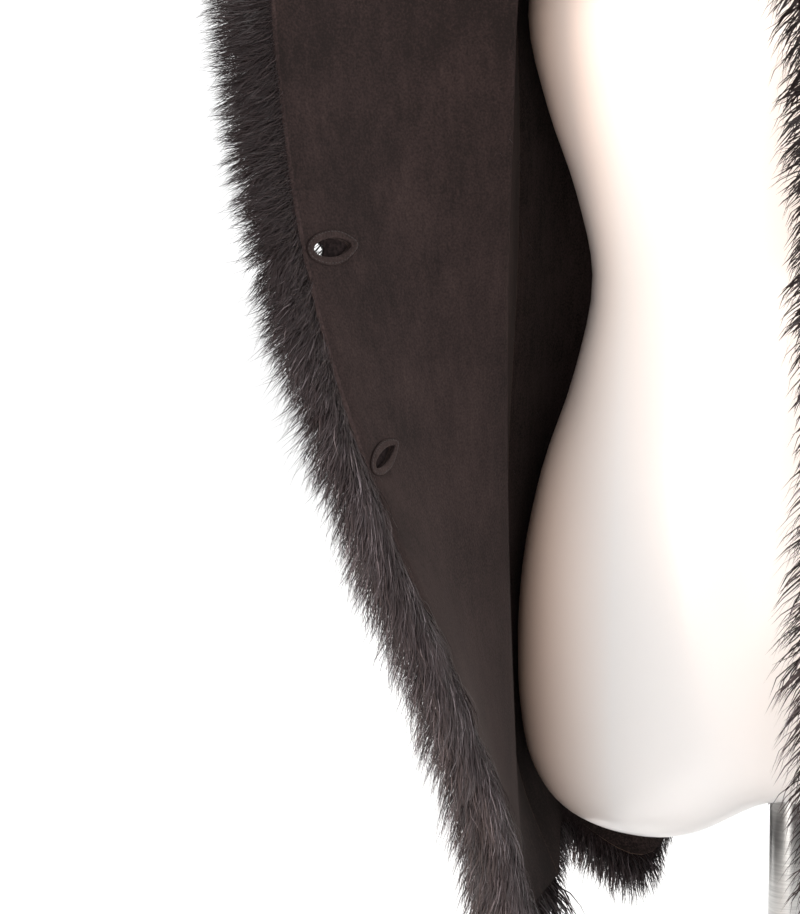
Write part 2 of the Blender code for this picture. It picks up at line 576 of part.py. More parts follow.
def main():
    for item in list(bpy.data.objects):
        bpy.data.objects.remove(item, do_unlink=True)
    coat, cutting = (bpy.data.collections.new(name) for name in ("fur_coat_on_form", "cutters"))
    for collection in (coat, cutting):
        bpy.context.scene.collection.children.link(collection)
    cutting.hide_render = True

    right_front = front_piece("right_front", RIGHT_FRONT, -1)
    left_front = front_piece("left_front", LEFT_FRONT, 1)
    back = back_piece()
    right_hole = armhole(right_front, back, True)
    left_hole = armhole(left_front, back, False)
    right_sleeve = sleeve_piece("right_sleeve", right_hole, 1)
    left_sleeve = sleeve_piece("left_sleeve", left_hole, -1)
    cloth = [back, right_front, left_front, right_sleeve, left_sleeve]
    share_normals(cloth)
    fill_with_pile(cloth)

    walls = {}
    for piece in cloth:
        fur = paint("fur_" + piece["name"], (0.045, 0.034, 0.033), 0.9)
        walls[piece["name"]] = fur_wall(piece, fur, coat)
    suede = paint("suede_right_facing", (0.055, 0.039, 0.036), 0.9)
    right_facing = facing_wall("right_facing", right_front, suede, coat)
    facing_wall("left_facing", left_front, paint("suede_left_facing", (0.055, 0.039, 0.036), 0.9), coat)

    on_facing = -(SEAM_GAP + FACING_THICK)
    rim_low, rim_high = on_facing - BINDING_GAP, on_facing - BINDING_GAP - BINDING_RISE
    slits, holes, pockets = [], [], []
    for number, (height, tilt, gape) in enumerate(BUTTONHOLES, start=1):
        hole = (HOLE_HALF, gape)
        binding = (HOLE_HALF + BINDING_WIDE[0], gape + BINDING_WIDE[1])
        middle = [(a + b) / 2 for a, b in zip(hole, binding)]
        rim = [
            (almond(half, 20, tilt), lift) for half, lift in (
                (hole, rim_low), (binding, rim_low), (binding, rim_low - 0.6),
                (middle, rim_high), (hole, rim_low - 0.8),
            )
        ]
        ring_solid(
            f"buttonhole_binding_{number}", rings_on_front(right_front, height, BUTTONHOLE_IN, rim),
            paint(f"binding_suede_{number}", (0.050, 0.036, 0.033), 0.85), coat, hollow=True,
        )
        for name, half, lifts, found in (
            ("hole", hole, (-4.0, 2.0), holes), ("slit", SLIT_HALF, (-2.0, PILE + 8.0), slits),
        ):
            outline = almond(half, 14, tilt)
            rings = rings_on_front(right_front, height, BUTTONHOLE_IN, [(outline, lift) for lift in lifts])
            found.append(ring_solid(f"{name}_cutter_{number}", rings, suede, cutting))
        floor = BUTTON_FLOOR + SEAM_GAP
        profile = [
            (12.4, 0.0), (BUTTON_RADIUS, 1.0), (BUTTON_RADIUS, 3.4), (12.6, 4.7), (8.0, BUTTON_THICK),
        ]
        ring_solid(
            f"button_{number}", button_rings(left_front, height, [(r, floor + z) for r, z in profile]),
            paint(f"button_horn_{number}", (0.018, 0.014, 0.013), 0.35), coat,
        )
        pocket = [(BUTTON_POCKET, BUTTON_FLOOR), (BUTTON_POCKET + 1.5, PILE + 10.0)]
        rings = button_rings(left_front, height, pocket)
        pockets.append(ring_solid(f"pocket_cutter_{number}", rings, suede, cutting))
    cut_out(right_facing, holes)
    cut_out(walls["right_front"], slits)
    cut_out(walls["left_front"], pockets)

    gloss = paint("fibreglass_cream_white", (0.83, 0.80, 0.77), 0.2)
    form = ring_solid("dress_form", torso_rings(), gloss, coat)
    steel = paint("stand_brushed_steel", (0.55, 0.55, 0.56), 0.35, 1.0)
    socket = [(POLE_RADIUS + SEAM_GAP, 150.0), (POLE_RADIUS + SEAM_GAP, 300.0)]
    cut_out(form, [turned_solid("socket_cutter", socket, 24, steel, cutting)])
    hub = POLE_RADIUS + SEAM_GAP
    turned_solid("stand_pole", [(POLE_RADIUS, 14.3), (POLE_RADIUS, 299.7)], 24, steel, coat)
    base = [
        (BASE_RADIUS, 0.0), (BASE_RADIUS, 8.5), (BASE_RADIUS - 4, BASE_THICK), (30.0, 14.0), (23.0, 19.0),
        (21.0, 38.0), (hub, 38.0), (hub, 14.0),
    ]
    turned_solid("stand_base", base, 40, paint("base_brushed_steel", (0.55, 0.55, 0.56), 0.35, 1.0), coat)
    for item in cutting.objects:
        item.display_type = "WIRE"
        item.hide_render = True


main()
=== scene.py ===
# %% [markdown]
# A short fur coat, worn open on a torso form. The fur side is out and the suede side of the skins is in. One
# front is turned back, so its suede facing and bound buttonholes face the camera, and only the fur that
# grows past its edge shows. The coat could be one solid with a hairy texture, but real fur is single hairs
# on thin skins, so that is how it is built here. First the imported part is loaded as a fixed frame.

import math

import bmesh
import bpy
import numpy as np
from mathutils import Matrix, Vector


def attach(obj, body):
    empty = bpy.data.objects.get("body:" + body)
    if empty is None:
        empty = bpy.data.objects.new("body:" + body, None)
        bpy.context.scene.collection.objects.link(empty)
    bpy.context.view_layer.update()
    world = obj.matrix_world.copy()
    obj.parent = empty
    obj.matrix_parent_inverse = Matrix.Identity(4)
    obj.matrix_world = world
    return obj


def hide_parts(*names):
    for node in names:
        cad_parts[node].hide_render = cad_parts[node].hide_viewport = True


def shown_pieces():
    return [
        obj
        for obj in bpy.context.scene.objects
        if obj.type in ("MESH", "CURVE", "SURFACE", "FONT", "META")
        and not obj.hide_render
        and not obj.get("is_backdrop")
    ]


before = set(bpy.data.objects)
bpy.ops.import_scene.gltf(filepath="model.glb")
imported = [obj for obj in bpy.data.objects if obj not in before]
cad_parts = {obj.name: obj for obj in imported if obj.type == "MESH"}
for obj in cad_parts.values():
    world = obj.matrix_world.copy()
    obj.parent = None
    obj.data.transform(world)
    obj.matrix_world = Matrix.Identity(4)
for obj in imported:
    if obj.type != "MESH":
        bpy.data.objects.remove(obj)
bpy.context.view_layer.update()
MM = 0.001

# %% [markdown]
# A camera far away with a long lens flattens perspective, as in a catalogue photograph. Its aim is
# worked out from two angles, a turn to the side and a dip, and the lens from the picture's height.

# %% The camera
def in_scene(name, data):
    """A new object that shows this data, linked into the scene."""
    item = bpy.data.objects.new(name, data)
    bpy.context.scene.collection.objects.link(item)
    return item


TURN, DIP = math.radians(12), math.radians(8)
DISTANCE, HEIGHT_IN_PIXELS, PIXELS_PER_SLOPE = 1.8, 914, 2880
look = Vector((-math.sin(TURN) * math.cos(DIP), math.cos(TURN) * math.cos(DIP), -math.sin(DIP)))
aim = Vector((-0.241 / math.cos(TURN), 0.0, 0.423))
camera = in_scene("camera", bpy.data.cameras.new("camera"))
camera.location = aim - look * DISTANCE
camera.rotation_mode = "QUATERNION"
camera.rotation_quaternion = look.to_track_quat("-Z", "Y")
camera.data.sensor_fit = "VERTICAL"
camera.data.lens = camera.data.sensor_height * PIXELS_PER_SLOPE / HEIGHT_IN_PIXELS
bpy.context.scene.camera = camera
print("camera at", [round(x, 3) for x in camera.location])

# %% [markdown]
# Node trees read best when one small function adds a node, sets it up and links it. Colours are
# written as sRGB hex, as a picker shows them, and are made linear, as a shader needs them.

# %% Helpers for nodes and colours
def linear(code):
    """An sRGB hex colour as linear RGBA."""
    parts = [int(code[i : i + 2], 16) / 255 for i in (1, 3, 5)]
    return (*[p / 12.92 if p <= 0.04045 else ((p + 0.055) / 1.055) ** 2.4 for p in parts], 1.0)


def add(tree, kind, inputs=None, **settings):
    """Adds a node. Inputs are keyed by name or number, and hold a value or another node's socket."""
    node = tree.nodes.new(kind)
    for key, value in settings.items():
        setattr(node, key, value)
    for key, value in (inputs or {}).items():
        if isinstance(value, bpy.types.NodeSocket):
            tree.links.new(value, node.inputs[key])
        else:
            node.inputs[key].default_value = value
    return node


def new_material(name, **values):
    """A material with its Principled shader's own sockets set, its tree and that shader."""
    material = bpy.data.materials.new(name)
    material.use_nodes = True
    shader = material.node_tree.nodes["Principled BSDF"]
    for key, value in values.items():
        shader.inputs[key.replace("_", " ")].default_value = value
    return material, material.node_tree, shader


def ramp(tree, factor, stops):
    """A colour ramp from (place, hex colour) stops."""
    node = add(tree, "ShaderNodeValToRGB", {"Fac": factor})
    band = node.color_ramp.elements
    while len(band) < len(stops):
        band.new(0.5)
    for element, (place, code) in zip(band, stops):
        element.position, element.color = place, linear(code)
    return node.outputs["Color"]


def place_on(tree):
    return add(tree, "ShaderNodeTexCoord").outputs["Object"]


def noise(tree, place, scale, detail, **more):
    """A noise texture's outputs, with this many waves a metre."""
    values = {"Vector": place, "Scale": scale, "Detail": detail, **more}
    return add(tree, "ShaderNodeTexNoise", values).outputs


def paint(tree, shader, colour, height=None, strength=0.0, distance=0.0):
    """Give the shader its colour and, from a height, a bump of this strength and distance."""
    tree.links.new(colour, shader.inputs["Base Color"])
    if height is not None:
        bump = add(tree, "ShaderNodeBump", {"Strength": strength, "Distance": distance, "Height": height})
        tree.links.new(bump.outputs[0], shader.inputs["Normal"])


print("black suede in linear:", [round(x, 4) for x in linear("#3A2F2D")])

# %% [markdown]
# Suede is the split or flesh side of a skin, buffed until its fibres stand up as a short nap. The nap gives
# no gloss, only a soft sheen at grazing angles, and finger marks and wear show as clouds where the fibres
# lie another way. Real nap is about 0.1 mm, too fine for this picture, so it is drawn at 1.2 mm. Three
# noises do this: clouds of 45 mm, upright brush streaks, and the nap itself, which also drives the bump. In
# the photograph the suede darkens towards the chest and, inside the back, by the hem, so its tone is also
# darkened with height, as painted shade.

# %% Suede
CHEST_SHADE = 0.13


def suede(name, dark, middle, light, sheen, hem_shade=0.0):
    material, tree, shader = new_material(name, Roughness=0.92, Sheen_Weight=sheen, Sheen_Roughness=0.45)
    shader.inputs["Specular IOR Level"].default_value = 0.15
    shader.inputs["Sheen Tint"].default_value = linear("#B9A59E")
    place = place_on(tree)
    clouds = noise(tree, place, 22.0, 4.0, Roughness=0.6)["Fac"]
    tall = add(tree, "ShaderNodeMapping", {"Vector": place, "Scale": (1.0, 1.0, 0.22)}).outputs[0]
    streaks = noise(tree, tall, 190.0, 3.0)["Fac"]
    nap = noise(tree, place, 800.0, 2.0)["Fac"]
    tone = 0.0
    for part, weight in ((streaks, 0.25), (clouds, 0.42), (nap, 0.65)):
        tone = add(tree, "ShaderNodeMath", {0: part, 1: weight, 2: tone},
                   operation="MULTIPLY_ADD").outputs[0]
    height = add(tree, "ShaderNodeSeparateXYZ", {0: place}).outputs["Z"]
    # Painted shade: the tone is darkened towards the chest, and by the hem as far as hem_shade is set.
    for start, full, shade in ((0.48, 0.74, CHEST_SHADE), (0.34, 0.24, hem_shade)):
        darker = add(tree, "ShaderNodeMapRange", {
            "Value": height, "From Min": start, "From Max": full, "To Max": -shade})
        tone = add(tree, "ShaderNodeMath", {0: tone, 1: darker.outputs[0]}, operation="ADD").outputs[0]
    paint(tree, shader, ramp(tree, tone, [(0.48, dark), (0.66, middle), (0.88, light)]), nap, 0.35, 0.0006)
    return material


facing_suede = suede("buffed_suede_facing", "#140E0D", "#221918", "#2D2321", 0.05)
# Painted light and shade: the inside suede is painted lighter than the facing, for light in the coat's
# hollow, and painted darker inside the back by the hem.
inner_suede = suede("inside_suede_painted_light_and_shade", "#140E0D", "#2E2422", "#3C302E", 0.04, 0.15)
# Painted highlight: the welt's suede is painted lighter than the facing, for the light its raised ring
# catches.
binding_suede = suede("suede_binding_painted_highlight", "#181110", "#261D1C", "#362C2A", 0.07)
folded_edge = suede("folded_suede_edge", "#1C1413", "#2B2120", "#382D2B", 0.06)
cut_edge = suede("cut_leather_edge", "#43362F", "#5A4A40", "#6E5C50", 0.08)
print("suede in", [m.name for m in (facing_suede, inner_suede, binding_suede, folded_edge, cut_edge)])

# %% [markdown]
# The fur has long guard hairs over a short, dense, woolly undercoat. A guard hair is smooth, so it has a
# narrow gloss, and it is a little paler towards its tip. The hair's colour also changes with height, darker
# on the chest as painted shade and paler towards the hem as painted light. Every hair carries two numbers
# made with it, its own tone and how far along it a point lies, and the material reads both. The undercoat is
# matt and almost black.

# %% Fur
def guard_hair(name, root, shaded_chest_stops, lit_skirt_stops):
    """The chest stops are darker as painted shade and the skirt stops paler as painted light; both are
    colour stops for the hair's own tone, mixed by height.
    """
    material, tree, shader = new_material(name, Roughness=0.46, Sheen_Weight=0.05, Sheen_Roughness=0.4)
    shader.inputs["Specular IOR Level"].default_value = 0.34
    tone = add(tree, "ShaderNodeAttribute", attribute_name="tone").outputs["Fac"]
    along = add(tree, "ShaderNodeAttribute", attribute_name="along").outputs["Fac"]
    height = add(tree, "ShaderNodeSeparateXYZ", {0: place_on(tree)}).outputs["Z"]
    # Painted shade and light: the hair is mixed from darker chest stops to paler skirt stops by height.
    low = add(tree, "ShaderNodeMapRange", {"Value": height, "From Min": 0.62, "From Max": 0.44})
    shaft = add(tree, "ShaderNodeMix", {
        0: low.outputs[0], 6: ramp(tree, tone, shaded_chest_stops), 7: ramp(tree, tone, lit_skirt_stops)},
        data_type="RGBA").outputs[2]
    share = add(tree, "ShaderNodeMapRange", {"Value": along, "From Min": 0.0, "From Max": 0.6})
    mix = add(tree, "ShaderNodeMix", {0: share.outputs[0], 6: linear(root), 7: shaft}, data_type="RGBA")
    paint(tree, shader, mix.outputs[2])
    return material


guard_fur = guard_hair("guard_hairs_black_brown", "#191213",
                       # The first stops are the chest's painted shade, the second the skirt's painted light.
                       [(0.0, "#170F10"), (0.5, "#1F1617"), (0.94, "#271E1F"), (1.0, "#443A3B")],
                       [(0.0, "#191213"), (0.5, "#302728"), (0.9, "#403739"), (1.0, "#7E7579")])
under_fur, tree, shader = new_material("woolly_undercoat", Roughness=0.95)
shader.inputs["Specular IOR Level"].default_value = 0.1
wool = noise(tree, place_on(tree), 420.0, 4.0)["Fac"]
paint(tree, shader, ramp(tree, wool, [(0.3, "#100B0B"), (0.7, "#241C1C")]), wool, 0.8, 0.002)
print("fur in", guard_fur.name, "and", under_fur.name)

# %% [markdown]
# The skins follow smooth curves through a few measured sections. Each row of a table is a level, from
# the hem up, and each column a line of the cut, such as the front edge or the side seam, in
# millimetres. These are the part's own sections, so the skins lie where its solids say.

# %% Sections of the coat
SIDE_SEAM = [
    (-143, -9, 163), (-168, -3, 222), (-178, 3, 320), (-178, 3, 430), (-173, 2, 540), (-172, 0, 640),
    (-175, 0, 710),
]
ARMHOLE_FRONT = [(-153, -70, 790), (-163, -46, 855), (-174, -20, 893), (-178, 8, 905)]
ARMHOLE_BACK = [(-162, 64, 790), (-168, 52, 855), (-176, 32, 893), (-178, 8, 905)]
RIGHT_FRONT = [  # front edge, facing's seam, neck line
    ((-112, -268, 160), (-145, -122, 160), (-149, -78, 162)),
    ((-120, -269, 220), (-150, -122, 220), (-157, -76, 220)),
    ((-151, -272, 320), (-155, -122, 320), (-167, -76, 320)),
    ((-200, -266, 430), (-158, -122, 430), (-169, -76, 430)),
    ((-242, -246, 540), (-158, -122, 540), (-167, -76, 540)),
    ((-265, -224, 640), (-155, -122, 640), (-165, -78, 640)),
    ((-273, -214, 710), (-152, -122, 710), (-163, -82, 710)),
    ((-265, -200, 790), (-136, -118, 792), (-146, -90, 790)),
    ((-226, -188, 853), (-109, -100, 862), (-126, -72, 860)),
    ((-178, -176, 893), (-84, -66, 904), (-96, -38, 920)),
    ((-142, -150, 926), (-62, -42, 931), (-72, 8, 947)),
]
LEFT_FRONT = [
    ((42, -224, 160), (150, -124, 160), (150, -78, 162)),
    ((40, -222, 220), (154, -124, 220), (157, -76, 220)),
    ((37, -219, 320), (156, -122, 320), (167, -76, 320)),
    ((34, -215, 430), (154, -120, 430), (168, -76, 430)),
    ((29, -210, 540), (149, -119, 540), (163, -76, 540)),
    ((23, -206, 640), (145, -119, 640), (160, -78, 640)),
    ((15, -202, 710), (138, -119, 710), (155, -82, 710)),
    ((3, -190, 786), (122, -115, 791), (141, -90, 790)),
    ((-6, -168, 834), (102, -97, 862), (124, -72, 860)),
    ((-22, -138, 872), (80, -68, 904), (96, -38, 920)),
    ((-36, -108, 896), (62, -42, 931), (72, 8, 947)),
]
BACK = [  # corner behind the side seam, neck line, centre back
    ((-148, 78, 187), (-98, 148, 184), (0, 172, 178)),
    ((-157, 82, 233), (-96, 142, 228), (0, 160, 228)),
    ((-157, 85, 320), (-90, 132, 320), (0, 144, 320)),
    ((-152, 82, 430), (-87, 124, 430), (0, 132, 430)),
    ((-147, 78, 540), (-84, 116, 540), (0, 122, 540)),
    ((-150, 75, 640), (-86, 110, 640), (0, 116, 640)),
    ((-160, 68, 710), (-96, 106, 710), (0, 112, 710)),
    ((-140, 88, 790), (-90, 106, 790), (0, 110, 790)),
    ((-138, 82, 855), (-84, 94, 862), (0, 100, 862)),
    ((-130, 44, 911), (-78, 48, 926), (0, 80, 920)),
    ((-125, 8, 926), (-72, 8, 947), (0, 70, 938)),
]
FLUTES = [  # folds in the back's hem: place across, half width, depth, way, drop, height of the top
    (-0.535, 0.26, 100, (0.40, -0.91), 43, 300), (0.05, 0.22, 22, (0.0, -1.0), 4, 300),
    (0.56, 0.30, 46, (-0.45, -0.89), 6, 305),
]
SLEEVE = [  # outer and inner point of a slanting section as (x, z), half depth, middle in y
    ((-207, 892), (-197, 700), 77, 2), ((-234, 866), (-209, 678), 81, 3), ((-251, 816), (-214, 642), 83, 4),
    ((-257, 742), (-216, 592), 83, 6), ((-255, 640), (-216, 540), 81, 9), ((-251, 540), (-215, 480), 78, 12),
    ((-248, 450), (-214, 422), 74, 15), ((-246, 368), (-214, 368), 69, 17),
]
print(len(RIGHT_FRONT), "levels in a front,", len(BACK), "in the back and", len(SLEEVE), "sections a sleeve")

# %% [markdown]
# A smooth curve through given points could come from Blender's own curves, but a grid of points needs
# every row cut at the same places, so that neighbours meet on their seam. A cubic through the rows,
# and another through the columns, gives that in a few lines. FINE is how much closer the points lie
# here than in the solids.

# %% Curves through the sections
FINE = 3
STEPS_UP = [FINE * n for n in (2, 3, 3, 3, 2, 2, 3, 2, 2, 2)]
ARMPIT_ROW = sum(STEPS_UP[:6])
FRONT_STEPS = [FINE * n for n in (2, 2, 2, 6)]
BACK_STEPS = [FINE * n for n in (3, 3, 4, 4, 3, 3)]
SEAM_COLUMN = sum(FRONT_STEPS[:2])
FACING_BOW = 7.0


def curve_through(knots, rows, at):
    wide = (-1, *([1] * (rows.ndim - 1)))
    run = np.diff(knots).reshape(wide)
    secant = np.diff(rows, axis=0) / run
    inner = (secant[:-1] * run[1:] + secant[1:] * run[:-1]) / (run[:-1] + run[1:])
    slope = np.concatenate([secant[:1], inner, secant[-1:]])
    low = np.clip(np.searchsorted(knots, at, side="right") - 1, 0, len(knots) - 2)
    span = run[low]
    t = (at - knots[low]).reshape(wide) / span
    return ((2 * t**3 - 3 * t**2 + 1) * rows[low] + (t**3 - 2 * t**2 + t) * span * slope[low]
            + (3 * t**2 - 2 * t**3) * rows[low + 1] + (t**3 - t**2) * span * slope[low + 1])


def spaced(knots, steps):
    parts = [np.linspace(a, b, n, endpoint=False) for a, b, n in zip(knots, knots[1:], steps)]
    return np.concatenate([*parts, knots[-1:]])


def run_of(points):
    leg = np.linalg.norm(np.diff(points, axis=0), axis=-1)
    leg = leg.mean(axis=1) if leg.ndim == 2 else leg
    return np.concatenate([[0.0], np.cumsum(leg)])


def run_in(grid):
    """Distance along each column from the first row, in millimetres."""
    legs = np.linalg.norm(np.diff(grid, axis=0), axis=2).cumsum(axis=0)
    return np.concatenate([np.zeros((1, grid.shape[1])), legs])


def wrapped(grid, closed=True):
    """The grid with its first column again at the end, where it is a tube."""
    return np.concatenate([grid, grid[:, :1]], axis=1) if closed else grid


def unit(ways):
    return ways / np.maximum(np.linalg.norm(ways, axis=-1, keepdims=True), 1e-9)


def woven(table, steps_across, creases, shoulders):
    """A grid of points through a table, sharp at the creases and straight on the shoulders."""
    across = run_of(table.transpose(1, 0, 2))
    ends = [0, *creases, len(across) - 1]
    at = spaced(across, steps_across)
    filled = []
    for row in table:
        parts = []
        for a, b in zip(ends, ends[1:]):
            run = across[a : b + 1]
            parts.append(curve_through(run, row[a : b + 1], spaced(run, steps_across[a:b])))
        filled.append(np.concatenate([part[:-1] for part in parts] + [parts[-1][-1:]]))
    for a, b in shoulders:
        on = (at >= across[a] - 1e-9) & (at <= across[b] + 1e-9)
        for axis in range(3):
            filled[-1][on, axis] = np.interp(at[on], across, table[-1][:, axis])
    rise = run_of(np.array(SIDE_SEAM + ARMHOLE_FRONT, float))
    return curve_through(rise, np.array(filled), spaced(rise, STEPS_UP))


print("a front is", sum(STEPS_UP) + 1, "by", sum(FRONT_STEPS) + 1, "points")

# %% [markdown]
# Five skins make the coat: two fronts, a back and two sleeves. The back's hem falls in flutes, which
# are humps added to the grid, deepest at the hem. A sleeve starts at the armhole's own points, so
# its seam closes. A skin's normals are averaged where two skins meet, so the fur runs over the seam.

# %% The five skins
def side_seam(sign):
    line = np.array(SIDE_SEAM, float) * (sign, 1, 1)
    rise = run_of(line)
    return curve_through(rise, line, spaced(rise, STEPS_UP[:6]))


def front(name, rows, sign):
    sides = [(-sign * x, y, z) for x, y, z in SIDE_SEAM + ARMHOLE_FRONT]
    table = []
    for (edge, seam, neck), side in zip(rows, sides):
        edge, seam = np.array(edge, float), np.array(seam, float)
        out = unit(np.cross(edge - seam, (0, 0, sign)))
        table.append([edge, (edge + seam) / 2 - out * FACING_BOW, seam, neck, side])
    grid = woven(np.array(table, float), FRONT_STEPS, [2, 3], [(3, 4)])
    grid[: ARMPIT_ROW + 1, -1] = side_seam(-sign)
    return {"name": name, "grid": grid, "outward": sign, "closed": False}


def back():
    right = [[side, *row] for side, row in zip(SIDE_SEAM + ARMHOLE_BACK, BACK)]
    table = np.array([row + [(-x, y, z) for x, y, z in row[-2::-1]] for row in right], float)
    grid = woven(table, BACK_STEPS, [], [(0, 2), (4, 6)])
    place, height = np.linspace(-1, 1, grid.shape[1])[None, :], grid[:, :, 2].copy()
    for at, half, depth, way, drop, top in FLUTES:
        share = (1 + np.cos(np.pi * np.clip((place - at) / half, -1, 1))) / 2
        share = share * np.clip((top - height) / (top - SIDE_SEAM[0][2]), 0, 1) ** 2.2
        grid += share[..., None] * (depth * way[0], depth * way[1], -drop)
    grid[: ARMPIT_ROW + 1, 0], grid[: ARMPIT_ROW + 1, -1] = side_seam(1), side_seam(-1)
    return {"name": "back", "grid": grid, "outward": -1, "closed": False}


def sleeve(name, front_skin, back_skin, sign):
    fall = back_skin["grid"][ARMPIT_ROW:, 0 if sign > 0 else -1]
    ring = np.concatenate([front_skin["grid"][ARMPIT_ROW:, -1], fall[-2:0:-1]])
    around = np.linspace(0, 2 * np.pi, len(ring), endpoint=False)
    sections = [ring * (sign, 1, 1)]
    for outer, inner, depth, mid in SLEEVE:
        outer, inner = np.array([outer[0], mid, outer[1]], float), np.array([inner[0], mid, inner[1]], float)
        sections.append([(outer + inner) / 2 + (inner - outer) / 2 * math.cos(a)
                         - np.array([0.0, depth, 0.0]) * math.sin(a) for a in around])
    rise = run_of(np.array(sections))
    grid = curve_through(rise, np.array(sections), spaced(rise, [2 * FINE] * len(SLEEVE))) * (sign, 1, 1)
    return {"name": name, "grid": grid, "outward": sign, "closed": True}


def add_normals(skins):
    total = {}
    for skin in skins:
        g = skin["grid"]
        g = np.concatenate([g[:, -1:], g, g[:, :1]], axis=1) if skin["closed"] else g
        n = unit(np.cross(np.gradient(g, axis=1), np.gradient(g, axis=0)) * skin["outward"])
        skin["normals"] = n[:, 1:-1] if skin["closed"] else n
        for point, n in zip(skin["grid"].reshape(-1, 3), skin["normals"].reshape(-1, 3)):
            key = tuple(np.round(point * 10).astype(int))
            total[key] = total.get(key, 0) + n
    for skin in skins:
        keys = [tuple(key) for key in np.round(skin["grid"].reshape(-1, 3) * 10).astype(int)]
        skin["normals"] = unit(np.array([total[key] for key in keys])).reshape(skin["grid"].shape)


right_front = front("right_front", RIGHT_FRONT, -1)
left_front = front("left_front", LEFT_FRONT, 1)
coat_back = back()
right_sleeve = sleeve("right_sleeve", right_front, coat_back, 1)
left_sleeve = sleeve("left_sleeve", left_front, coat_back, -1)
skins = [coat_back, right_front, left_front, right_sleeve, left_sleeve]
add_normals(skins)


def area(grid, closed=False):
    g = wrapped(grid, closed)
    a, b = g[1:, 1:] - g[:-1, :-1], g[1:, :-1] - g[:-1, 1:]
    return float(np.linalg.norm(np.cross(a, b), axis=2).sum() / 2) * MM**2


for skin in skins:
    metres = area(skin["grid"], skin["closed"])
    print(skin["name"], skin["grid"].shape[:2], "points,", round(metres, 4), "m2")

# %% [markdown]
# Fur has depth only where there is room. Between a sleeve and the body it is pressed flat, so each
# point's depth comes from the largest ball that fits between its skin and the others, as in the
# solids. It is worked out on every third point and spread back over the rest.

# %% How deep the fur is
PILE, PILE_LEAST, PILE_SLOPE = 26.0, 2.0, 0.5
ROOM_SHARE, ROOM_SPARE, RISE_LEAST = 0.6, 1.5, 0.5     # how much of a ball's radius the fur may fill


def add_depths(skins):
    thin = [skin["grid"][::FINE, ::FINE] for skin in skins]
    flat = [grid.reshape(-1, 3) for grid in thin]
    deep = []
    for number, skin in enumerate(skins):
        others = [g.reshape(-1, 3) for i, g in enumerate(s["grid"][::2, ::2] for s in skins) if i != number]
        points = np.concatenate([flat[number], *others])
        room = []
        for line, out in zip(thin[number], skin["normals"][::FINE, ::FINE]):
            away = points[None] - line[:, None]
            rise = np.einsum("ijk,ik->ij", away, out)
            balls = (away**2).sum(axis=2) / np.maximum(2 * rise, 1e-6)
            room.append(np.where(rise > RISE_LEAST, balls, 1e6).min(axis=1))
        deep.append(np.clip(np.array(room) * ROOM_SHARE - ROOM_SPARE, PILE_LEAST, PILE))
    everywhere, every = np.concatenate(flat), np.concatenate([d.ravel() for d in deep])
    for skin, grid in zip(skins, thin):
        away = np.linalg.norm(everywhere[None] - grid.reshape(-1, 1, 3), axis=2)
        depth = (every[None] + PILE_SLOPE * away).min(axis=1).reshape(grid.shape[:2])
        depth = wrapped(depth, skin["closed"])
        for axis, count in enumerate(skin["grid"].shape[:2]):
            old, new = np.arange(depth.shape[axis]) * FINE, np.arange(count)
            depth = np.apply_along_axis(lambda line: np.interp(new, old, line), axis, depth)
        skin["depth"] = depth


add_depths(skins)
for skin in skins:
    least, most = skin["depth"].min(), skin["depth"].max()
    print(skin["name"], "fur depth in mm:", round(least, 1), "to", round(most, 1))

# %% [markdown]
# A skin is about 1.2 mm of leather. Its shell is two grids of points joined round the rim, with the
# suede side in and the hair side out. A shell's faces must all point out, so they are turned together
# at the end. The rim has its own material, the pale cut of the leather.

# %% Shells
SKIN_THICK = 1.2


def mesh_piece(name, vertices, faces, materials, kinds=None, smooth=True):
    mesh = bpy.data.meshes.new(name)
    mesh.from_pydata([tuple(v) for v in np.asarray(vertices) * MM], [], faces)
    for material in materials:
        mesh.materials.append(material)
    if kinds is not None:
        mesh.polygons.foreach_set("material_index", kinds)
    mesh.polygons.foreach_set("use_smooth", [smooth] * len(mesh.polygons))
    mesh.update()
    return in_scene(name, mesh)


def grid_faces(number):
    """Four-sided faces between the neighbours of a grid of point numbers."""
    corners = [number[:-1, :-1], number[:-1, 1:], number[1:, 1:], number[1:, :-1]]
    return np.stack(corners, axis=-1).reshape(-1, 4)


def shell(name, low, high, closed, outward, materials):
    """A closed wall between two grids, with materials for the low side, the rim and the high side."""
    rows, cols = low.shape[:2]
    number = wrapped(np.arange(rows * cols).reshape(rows, cols), closed)
    under, over = grid_faces(number)[:, ::-1], grid_faces(number) + rows * cols
    rims = [number[0], number[-1][::-1]] + ([] if closed else [number[::-1, 0], number[:, -1]])
    edge = np.concatenate([
        np.stack([r[:-1], r[1:], r[1:] + rows * cols, r[:-1] + rows * cols], axis=1) for r in rims])
    faces = np.concatenate([under, over, edge])
    faces = faces[:, ::-1] if outward < 0 else faces
    last = len(materials) - 1
    kinds = [0] * len(under) + [last] * len(over) + [min(1, last)] * len(edge)
    points = np.concatenate([low.reshape(-1, 3), high.reshape(-1, 3)])
    piece = mesh_piece(name, points, faces.tolist(), materials, kinds)
    piece.data.set_sharp_from_angle(angle=math.radians(50))
    return piece


def moved_in(grid, sides):
    """The grid with the named sides' lines moved in along the cloth by so many millimetres."""
    grid, was = grid.copy(), grid
    for (axis, last), inset in sides.items():
        lines, old = (g.swapaxes(0, 1) if axis else g for g in (grid, was))
        lines, old = (g[::-1] if last else g for g in (lines, old))
        lines[0] += unit(old[1] - old[0]) * inset
    return grid


